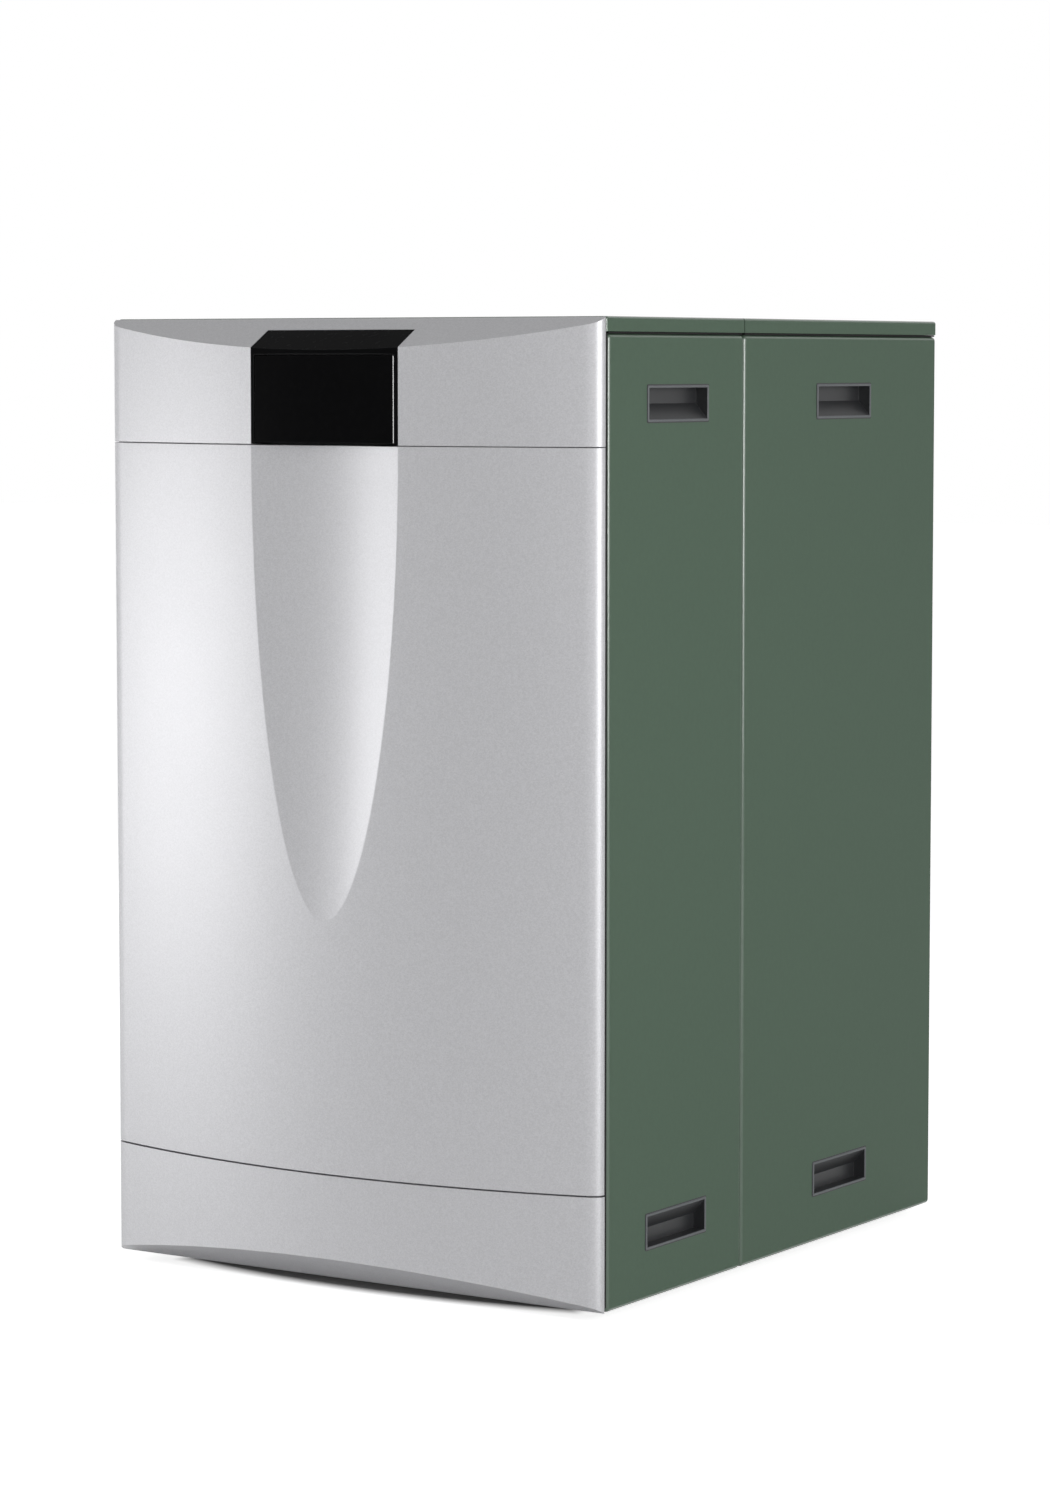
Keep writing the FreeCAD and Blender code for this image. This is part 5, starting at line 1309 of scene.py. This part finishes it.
@dataclass
class Casing:
    """The green casing: four folded side panels with their pocket handles, and two lids."""

    sheet: float = 1.5 * MM
    bend: float = 5.0 * MM
    lid_bend: float = 3.0 * MM
    handle: PocketHandle = field(default_factory=PocketHandle)
    handle_end: float = 70.0 * MM
    handle_fit: float = 1.4 * MM
    seal_in: float = 1.6 * MM
    seal_w: float = 10.0 * MM
    seal_free: float = 0.2 * MM
    seal_edge: float = 0.4 * MM
    crisp: float = 35.0

    def build(self, palette: Palette) -> None:
        """Model and dress the panels, handles and lids.

        Args:
            palette: The finishes.
        """
        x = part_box("right_front_side")[1].x
        pockets = {slope: self.handle.build("pocket_master", x, slope) for slope in (1, -1)}
        frames = {slope: self.handle.frame("frame_master", x) for slope in (1, -1)}
        for section in ("front", "rear"):
            low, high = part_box(f"right_{section}_side")
            masters = (
                (self.panel(low, high), "skin", "green", ["side"]),
                (self.handle_pair(pockets, low, high), "pockets", "handle_plastic", ["handles"]),
                # The frames take the lighter fascia grey: a grey plastic, and a painted sheen along the
                # ridge.
                (self.handle_pair(frames, low, high), "sheen_surrounds", "fascia_grey", []),
                (self.seal(low, high, section == "front"), "seal", "lead_rubber", []),
            )
            for side in Side:
                stem = f"{side.name.lower()}_{section}_"
                move = MIRROR if side is Side.LEFT else Matrix.Identity(4)
                for master, ending, slot, nodes in masters:
                    piece = copy_of(master, stem + ending, move)
                    palette.mount(piece, slot, stem + "cover", *(stem + node for node in nodes))
            remove(*(master for master, *_ in masters))
        remove(*pockets.values(), *frames.values())
        for node, seam in (("front_lid", 1), ("rear_lid", -1)):
            palette.mount(self.lid(node, seam), "green", node, node)

    def handle_heights(self, low: Vector, high: Vector) -> dict[int, float]:
        """Heights of the two handles by the slope of their pockets."""
        return {1: high.z - self.handle_end, -1: low.z + self.handle_end}

    def panel(self, low: Vector, high: Vector) -> Piece:
        """Right-hand tray of folded sheet with two cut-outs.

        Args:
            low: Lowest corner of its solid.
            high: Highest corner of its solid.

        Returns:
            The tray.
        """
        piece = add_box("side_tray", low, high)
        middle_y = (low.y + high.y) / 2
        half_l = self.handle.length / 2 - self.handle_fit
        half_h = self.handle.height / 2 - self.handle_fit
        heights = self.handle_heights(low, high).values()
        self.fold(piece, self.bend, lambda place, normal: normal.x < -ALONG,
                  lambda place, way: place.x > high.x - TOUCH or abs(way.x) > ALONG)
        with editing(piece):
            cuts = [((0.0, middle_y + way * half_l, 0.0), (0.0, 1.0, 0.0)) for way in (-1, 1)]
            cuts += [((0.0, 0.0, z + way * half_h), (0.0, 0.0, 1.0)) for z in heights for way in (-1, 1)]
            for place, normal in cuts:
                bpy.ops.mesh.select_all(action="SELECT")
                bpy.ops.mesh.bisect(plane_co=place, plane_no=normal)
            pick(piece, Part.FACE, lambda place, normal: normal.x > ALONG and abs(place.y - middle_y) < half_l
                       and any(abs(place.z - z) < half_h for z in heights))
            bpy.ops.mesh.delete(type="FACE")
        thicken(piece, self.sheet)
        smooth(piece, self.crisp)
        return piece

    @staticmethod
    def fold(piece: Piece, bend: float, opening: Test, bends: Test) -> None:
        """Open a box and bend its edges.

        Args:
            piece: The box.
            bend: Width of the bends in metres.
            opening: Picks the faces that are open.
            bends: Picks the edges that are bent.
        """
        with editing(piece):
            pick(piece, Part.FACE, opening)
            bpy.ops.mesh.delete(type="FACE")
            pick(piece, Part.EDGE, bends)
            bpy.ops.mesh.bevel(offset=bend, segments=5, affect="EDGES")

    def handle_pair(self, masters: dict[int, Piece], low: Vector, high: Vector) -> Piece:
        """Both pockets or frames of one right-hand panel, copied from the masters for their slopes.

        Args:
            masters: Pockets or frames by the slope of the pocket.
            low: Lowest corner of the panel.
            high: Highest corner of the panel.

        Returns:
            Both as one piece.
        """
        middle_y = (low.y + high.y) / 2
        return join([copy_of(masters[slope], "pocket", Matrix.Translation((0.0, middle_y, z)))
                     for slope, z in self.handle_heights(low, high).items()])

    def seal(self, low: Vector, high: Vector, front: bool) -> Piece:
        """Foam strips on one right-hand panel: under the lid's flange, and behind the front panels, where the
        near-black strip also paints the gap's shade.

        Args:
            low: Lowest corner of the panel.
            high: Highest corner of the panel.
            front: Whether the panel stands behind the front panels.

        Returns:
            The strips as one piece.
        """
        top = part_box("rear_lid")[0].z - self.seal_free
        outer = high.x - self.seal_in
        inner = outer - self.seal_w
        strips = [add_box("seal", Vector((inner, low.y + self.seal_in, high.z)),
                            Vector((outer, high.y - self.seal_in, top)))]
        # Near-black strip in the gap behind the front panels: a seal, and painted shade of the gap.
        if front:
            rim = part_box("front_door_panel")[1].y + self.seal_free
            strips.append(add_box("front_seal", Vector((inner, rim, low.z + self.bend)),
                                    Vector((outer, low.y, high.z))))
        for strip in strips:
            soften(strip, self.seal_edge)
            smooth(strip)
        return join(strips)

    def lid(self, node: str, seam: int) -> Piece:
        """Top sheet with flanges on its three outer sides.

        Args:
            node: The CAD node that it stands for.
            seam: +1 where the open side is at the rear, -1 where it is at the front.

        Returns:
            The lid.
        """
        low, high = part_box(node)
        piece = add_box(node + "_skin", low, high)
        open_y = high.y if seam > 0 else low.y
        self.fold(piece, self.lid_bend, lambda place, normal: normal.z < -ALONG or normal.y * seam > ALONG,
                  lambda place, way: abs(place.y - open_y) > TOUCH
                  and (place.z > high.z - TOUCH or abs(way.z) > ALONG))
        thicken(piece, self.sheet)
        smooth(piece, self.crisp)
        return piece


@dataclass
class Console:
    """The black display flap with its arms, pins and grip."""

    shape: BowedFront
    wall: float = 3.0 * MM
    edge: float = 0.7 * MM
    ground: float = 0.85 * MM
    arm_w: float = 6.5 * MM
    arm_r: float = 4.0 * MM
    pin_r: float = 2.0 * MM
    grip_w: float = 120.0 * MM
    grip_d: float = 4.0 * MM
    hinge_y: float = 9.5 * MM
    hinge_z: float = 5.6 * MM
    cheek: float = 4.2 * MM
    arm_edge: float = 0.3 * MM
    grip_edge: float = 0.5 * MM
    crisp: float = 40.0

    def build(self, palette: Palette) -> None:
        """Model and dress the flap."""
        palette.mount(self.flap(), "console_black", "flap", "display_flap")

    def flap(self) -> Piece:
        """Bowed cover with two hinge arms and a grip along its lower edge.

        Returns:
            The flap.
        """
        shape = self.shape
        low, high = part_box("display_flap")
        pin_end = high.x
        half = pin_end - self.cheek
        rows = [[Vector((x, shape.face_y(x), z)) for x in steps(-half, half, 36)]
                for z in steps(low.z, high.z, 4)]
        skin = add_sheet("flap_skin", rows)
        thicken(skin, self.wall)
        edge_y = shape.face_y(half) + self.wall / 3
        with editing(skin):
            pick(skin, Part.EDGE, lambda place, way: abs(way.z) > ALONG and place.y < edge_y
                       and abs(abs(place.x) - half) < NEAR)
            bpy.ops.mesh.bevel(offset=self.ground, offset_type="OFFSET", segments=1, affect="EDGES")
        soften(skin, self.edge, 3)
        smooth(skin, self.crisp)
        hinge = Vector((0.0, shape.apex_y + self.hinge_y, high.z - self.hinge_z))
        parts = [skin]
        for side in (-1.0, 1.0):
            x = side * (half - self.arm_w / 2)
            front = shape.face_y(x) + self.wall / 2
            arm = add_box("arm", Vector((x - self.arm_w / 2, front, hinge.z - self.arm_r)),
                            Vector((x + self.arm_w / 2, hinge.y, hinge.z + self.hinge_z - self.edge)))
            boss = add_rod("boss", Vector((x, hinge.y, hinge.z)), "X", self.arm_r, self.arm_w)
            pin_x = (x + side * pin_end) / 2
            pin = add_rod("pin", Vector((pin_x, hinge.y, hinge.z)), "X", self.pin_r, abs(side * pin_end - x))
            for part in (arm, boss, pin):
                soften(part, self.arm_edge)
                smooth(part, self.crisp)
            parts += [arm, boss, pin]
        parts.append(self.grip(low.z))
        return join(parts)

    def grip(self, z: float) -> Piece:
        """Finger ledge behind the lower edge of the flap.

        Args:
            z: Lower edge of the flap.

        Returns:
            The ledge.
        """
        shape = self.shape
        half = self.grip_w / 2
        rows = [[Vector((x, shape.face_y(x) + self.wall * 0.6, height)) for x in steps(-half, half, 24)]
                for height in (z + self.edge, z + self.wall)]
        ledge = add_sheet("grip", rows)
        thicken(ledge, self.grip_d + self.wall * 0.4)
        soften(ledge, self.grip_edge)
        smooth(ledge, self.crisp)
        return ledge


@dataclass
class RearFixings:
    """Flanged hexagon screws that hold the rear panel to the frame."""

    flange_r: float = 7.5 * MM
    flange_t: float = 1.2 * MM
    head_r: float = 5.2 * MM
    head_h: float = 4.2 * MM
    from_side: float = 13.0 * MM
    from_end: float = 16.0 * MM
    middle_x: float = 140.0 * MM
    edge: float = 0.4 * MM
    head_edge: float = 0.35 * MM
    dish_w: float = 1.0 * MM
    dish_d: float = 0.5 * MM
    crisp: float = 35.0

    def build(self, palette: Palette) -> None:
        """Model one screw and set copies of it round the panel.

        Args:
            palette: The finishes.
        """
        low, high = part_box("rear_panel")
        master = self.screw(high.y)
        side = high.x - self.from_side
        bottom, top = low.z + self.from_end, high.z - self.from_end
        places = [(way * side, z) for way in (-1, 1) for z in steps(bottom, top, 4)]
        places += [(way * self.middle_x, z) for way in (-1, 1) for z in (bottom, top)]
        screws = [copy_of(master, "screw", Matrix.Translation((x, 0.0, z))) for x, z in places]
        remove(master)
        piece = join(screws)
        piece.name = "rear_screws"
        palette.mount(piece, "frame_black", "cabinet")

    def screw(self, face_y: float) -> Piece:
        """Screw head with its flange, at x = 0 and z = 0.

        Args:
            face_y: Outer face of the panel.

        Returns:
            The screw head.
        """
        middle = Vector((0.0, face_y + self.flange_t / 2, 0.0))
        flange = add_rod("flange", middle, "Y", self.flange_r, self.flange_t)
        soften(flange, self.edge, 3)
        middle = Vector((0.0, face_y + self.head_h / 2, 0.0))
        head = add_rod("head", middle, "Y", self.head_r, self.head_h, 6)
        soften(head, self.head_edge, 2, 40.0)
        with editing(head):
            pick(head, Part.FACE, lambda place, normal: normal.y > ALONG)
            bpy.ops.mesh.inset(thickness=self.dish_w, depth=-self.dish_d)
        for part in (flange, head):
            smooth(part, self.crisp)
        return join([flange, head])


@dataclass(frozen=True)
class Lamp:
    """A soft rectangular lamp; spread lights matt surfaces and shine shows in reflections."""

    name: str
    place: Place
    aim: Place
    width: float
    height: float
    power: float
    spread: bool = True
    shine: bool = True

    def hang(self) -> None:
        """Add the lamp to the scene."""
        light = bpy.data.lights.new(self.name, "AREA")
        light.shape = "RECTANGLE"
        light.size, light.size_y, light.energy = self.width, self.height, self.power
        lamp = bpy.data.objects.new(self.name, light)
        lamp.location = self.place
        lamp.visible_diffuse, lamp.visible_glossy = self.spread, self.shine
        lamp.rotation_euler = (Vector(self.aim) - Vector(self.place)).to_track_quat("-Z", "Y").to_euler()
        bpy.context.scene.collection.objects.link(lamp)


@dataclass
class Studio:
    """Pale floor, soft lamps, white surround and the camera of the photograph.

    The painted shadow under the object goes from a depth inside its outline to another one, where the floor
    is white again, and has a least level. Reflections meet it nearer the edge than the eye does.
    """

    LAMPS = (
        Lamp("key_left", place=(-3.3, -2.4, 0.36), aim=(-0.1, -0.35, 0.32),
             width=1.8, height=0.82, power=45.5),
        Lamp("fill_right", place=(3.45, -1.45, 1.2), aim=(0.2, 0.0, 0.5),
             width=1.6, height=2.0, power=59.5),
        Lamp("fill_left", place=(-3.45, 0.9, 1.2), aim=(-0.2, 0.1, 0.5),
             width=1.6, height=2.0, power=50.0, shine=False),
        Lamp("edge_right", place=(2.96, -2.13, 1.15), aim=(0.3, -0.34, 0.6),
             width=0.8, height=1.2, power=46.0, spread=False),
        Lamp("edge_front", place=(1.13, -3.44, 1.15), aim=(0.3, -0.34, 0.6),
             width=0.6, height=1.2, power=7.0, spread=False),
    )
    eye: Place = (2.604, -4.077, 0.9625)
    tilt: float = 4.987
    swing: float = 32.68
    lens: float = 106.1
    sensor: float = 36.0
    sight: float = 60.0
    ambient: float = 0.14
    floor_size: float = 40.0
    floor_glow: float = 0.82
    floor_tones: tuple[float, float] = (0.86, 0.89)
    half_w: float = 0.305
    front_y: float = -0.4008
    rear_y: float = 0.3608
    bow: float = 0.046
    eye_dark: Place = (0.07, 0.045, 0.0)
    mirror_dark: Place = (0.012, -0.004, 0.18)

    def build(self) -> None:
        """Set up the floor, the light and the camera."""
        self.floor()
        self.surround()
        for lamp in self.LAMPS:
            lamp.hang()
        self.camera()
        bpy.context.scene.view_settings.view_transform = "Standard"

    def floor(self) -> None:
        """Large plain floor that is white to the eye and keeps the object's shadow: the lamps' shadow in its
        diffuse part, and a painted shadow under the object.
        """
        clear_selection()
        bpy.ops.mesh.primitive_plane_add(size=self.floor_size)
        plane = settle("floor")
        material, nodes, shader = new_material("pale_floor")
        cloud = nodes.noise(nodes.place(), 0.8, 2.0, 0.5)
        tones = [(grey, grey, grey, 1.0) for grey in self.floor_tones]
        nodes.put(shader, "Base Color", nodes.blend(cloud, *tones))
        shader.inputs["Roughness"].default_value = 0.9
        # The glow fades out under the object: a painted shadow for the eye and for reflections.
        nodes.put(shader, "Emission Strength", nodes.times(self.unshaded(nodes), self.floor_glow))
        shader.inputs["Emission Color"].default_value = WHITE
        plane.data.materials.append(material)

    def unshaded(self, nodes: Nodes) -> Socket:
        """Where the floor shows white: all but the painted shadow under the object.

        Args:
            nodes: Writer for the floor's tree.

        Returns:
            One on the open floor, nought in the painted shadow under the object; reflections meet it nearer
            its edge.
        """
        place = nodes.add("SeparateXYZ", {"Vector": nodes.place()}).outputs
        side = nodes.less(self.half_w, nodes.maths("ABSOLUTE", place["X"], 0.0))
        curve = nodes.times(nodes.maths("POWER", place["X"], 2.0), self.bow / self.half_w ** 2)
        front = nodes.less(nodes.less(place["Y"], self.front_y), curve)
        rear = nodes.less(self.rear_y, place["Y"])
        depth = nodes.maths("MINIMUM", nodes.maths("MINIMUM", side, front), rear)
        # Painted shadow: the glow ramps down inside the outline, sooner for reflections than for the eye.
        path = nodes.add("LightPath").outputs
        mirrored = nodes.maths("MAXIMUM", path["Is Glossy Ray"], path["Is Transmission Ray"])
        rays = ((path["Is Camera Ray"], self.eye_dark), (mirrored, self.mirror_dark))
        return nodes.maths("MAXIMUM", *(nodes.times(ray, nodes.ramp(depth, *dark)) for ray, dark in rays))

    def surround(self) -> None:
        """White for the eye and for reflections, a plain level of light for everything else."""
        world = bpy.data.worlds.new("studio")
        bpy.context.scene.world = world
        world.use_nodes = True
        nodes = Nodes(world.node_tree)
        back = world.node_tree.nodes["Background"]
        back.inputs["Color"].default_value = WHITE
        nodes.put(back, "Strength", nodes.span(self.seen(nodes), self.ambient, 1.0))

    @staticmethod
    def seen(nodes: Nodes) -> Socket:
        """One for the eye and for reflections, nought for light.

        Args:
            nodes: Writer for the world's tree.

        Returns:
            The mask.
        """
        path = nodes.add("LightPath").outputs
        direct = nodes.maths("MAXIMUM", path["Is Camera Ray"], path["Is Glossy Ray"])
        return nodes.maths("MAXIMUM", direct, path["Is Transmission Ray"])

    def camera(self) -> None:
        """Camera at the photograph's place, with no shift."""
        lens = bpy.data.cameras.new("camera")
        lens.lens = self.lens
        lens.sensor_width = self.sensor
        lens.clip_end = self.sight
        eye = bpy.data.objects.new("camera", lens)
        eye.location = self.eye
        eye.rotation_euler = (math.radians(90.0 - self.tilt), 0.0, math.radians(self.swing))
        bpy.context.scene.collection.objects.link(eye)
        bpy.context.scene.camera = eye


def write_sizes() -> None:
    """Hold a helper that turns a box into plain lists; nothing is written."""
    def plain(box: tuple) -> list[list[float]]:
        """One box as lists."""
        return [[float(value) for value in corner] for corner in box]


def main() -> None:
    """Build the finishes, dress the solids and model the outer pieces."""
    logging.basicConfig(level=logging.INFO, format="%(name)s: %(message)s")
    palette = Palette(Effects())
    palette.dress_solids()
    shape = BowedFront.from_frame()
    FrontPanels(shape).build(palette)
    Casing().build(palette)
    Console(shape).build(palette)
    RearFixings().build(palette)
    Studio().build()
    write_sizes()


if __name__ == "__main__":
    main()
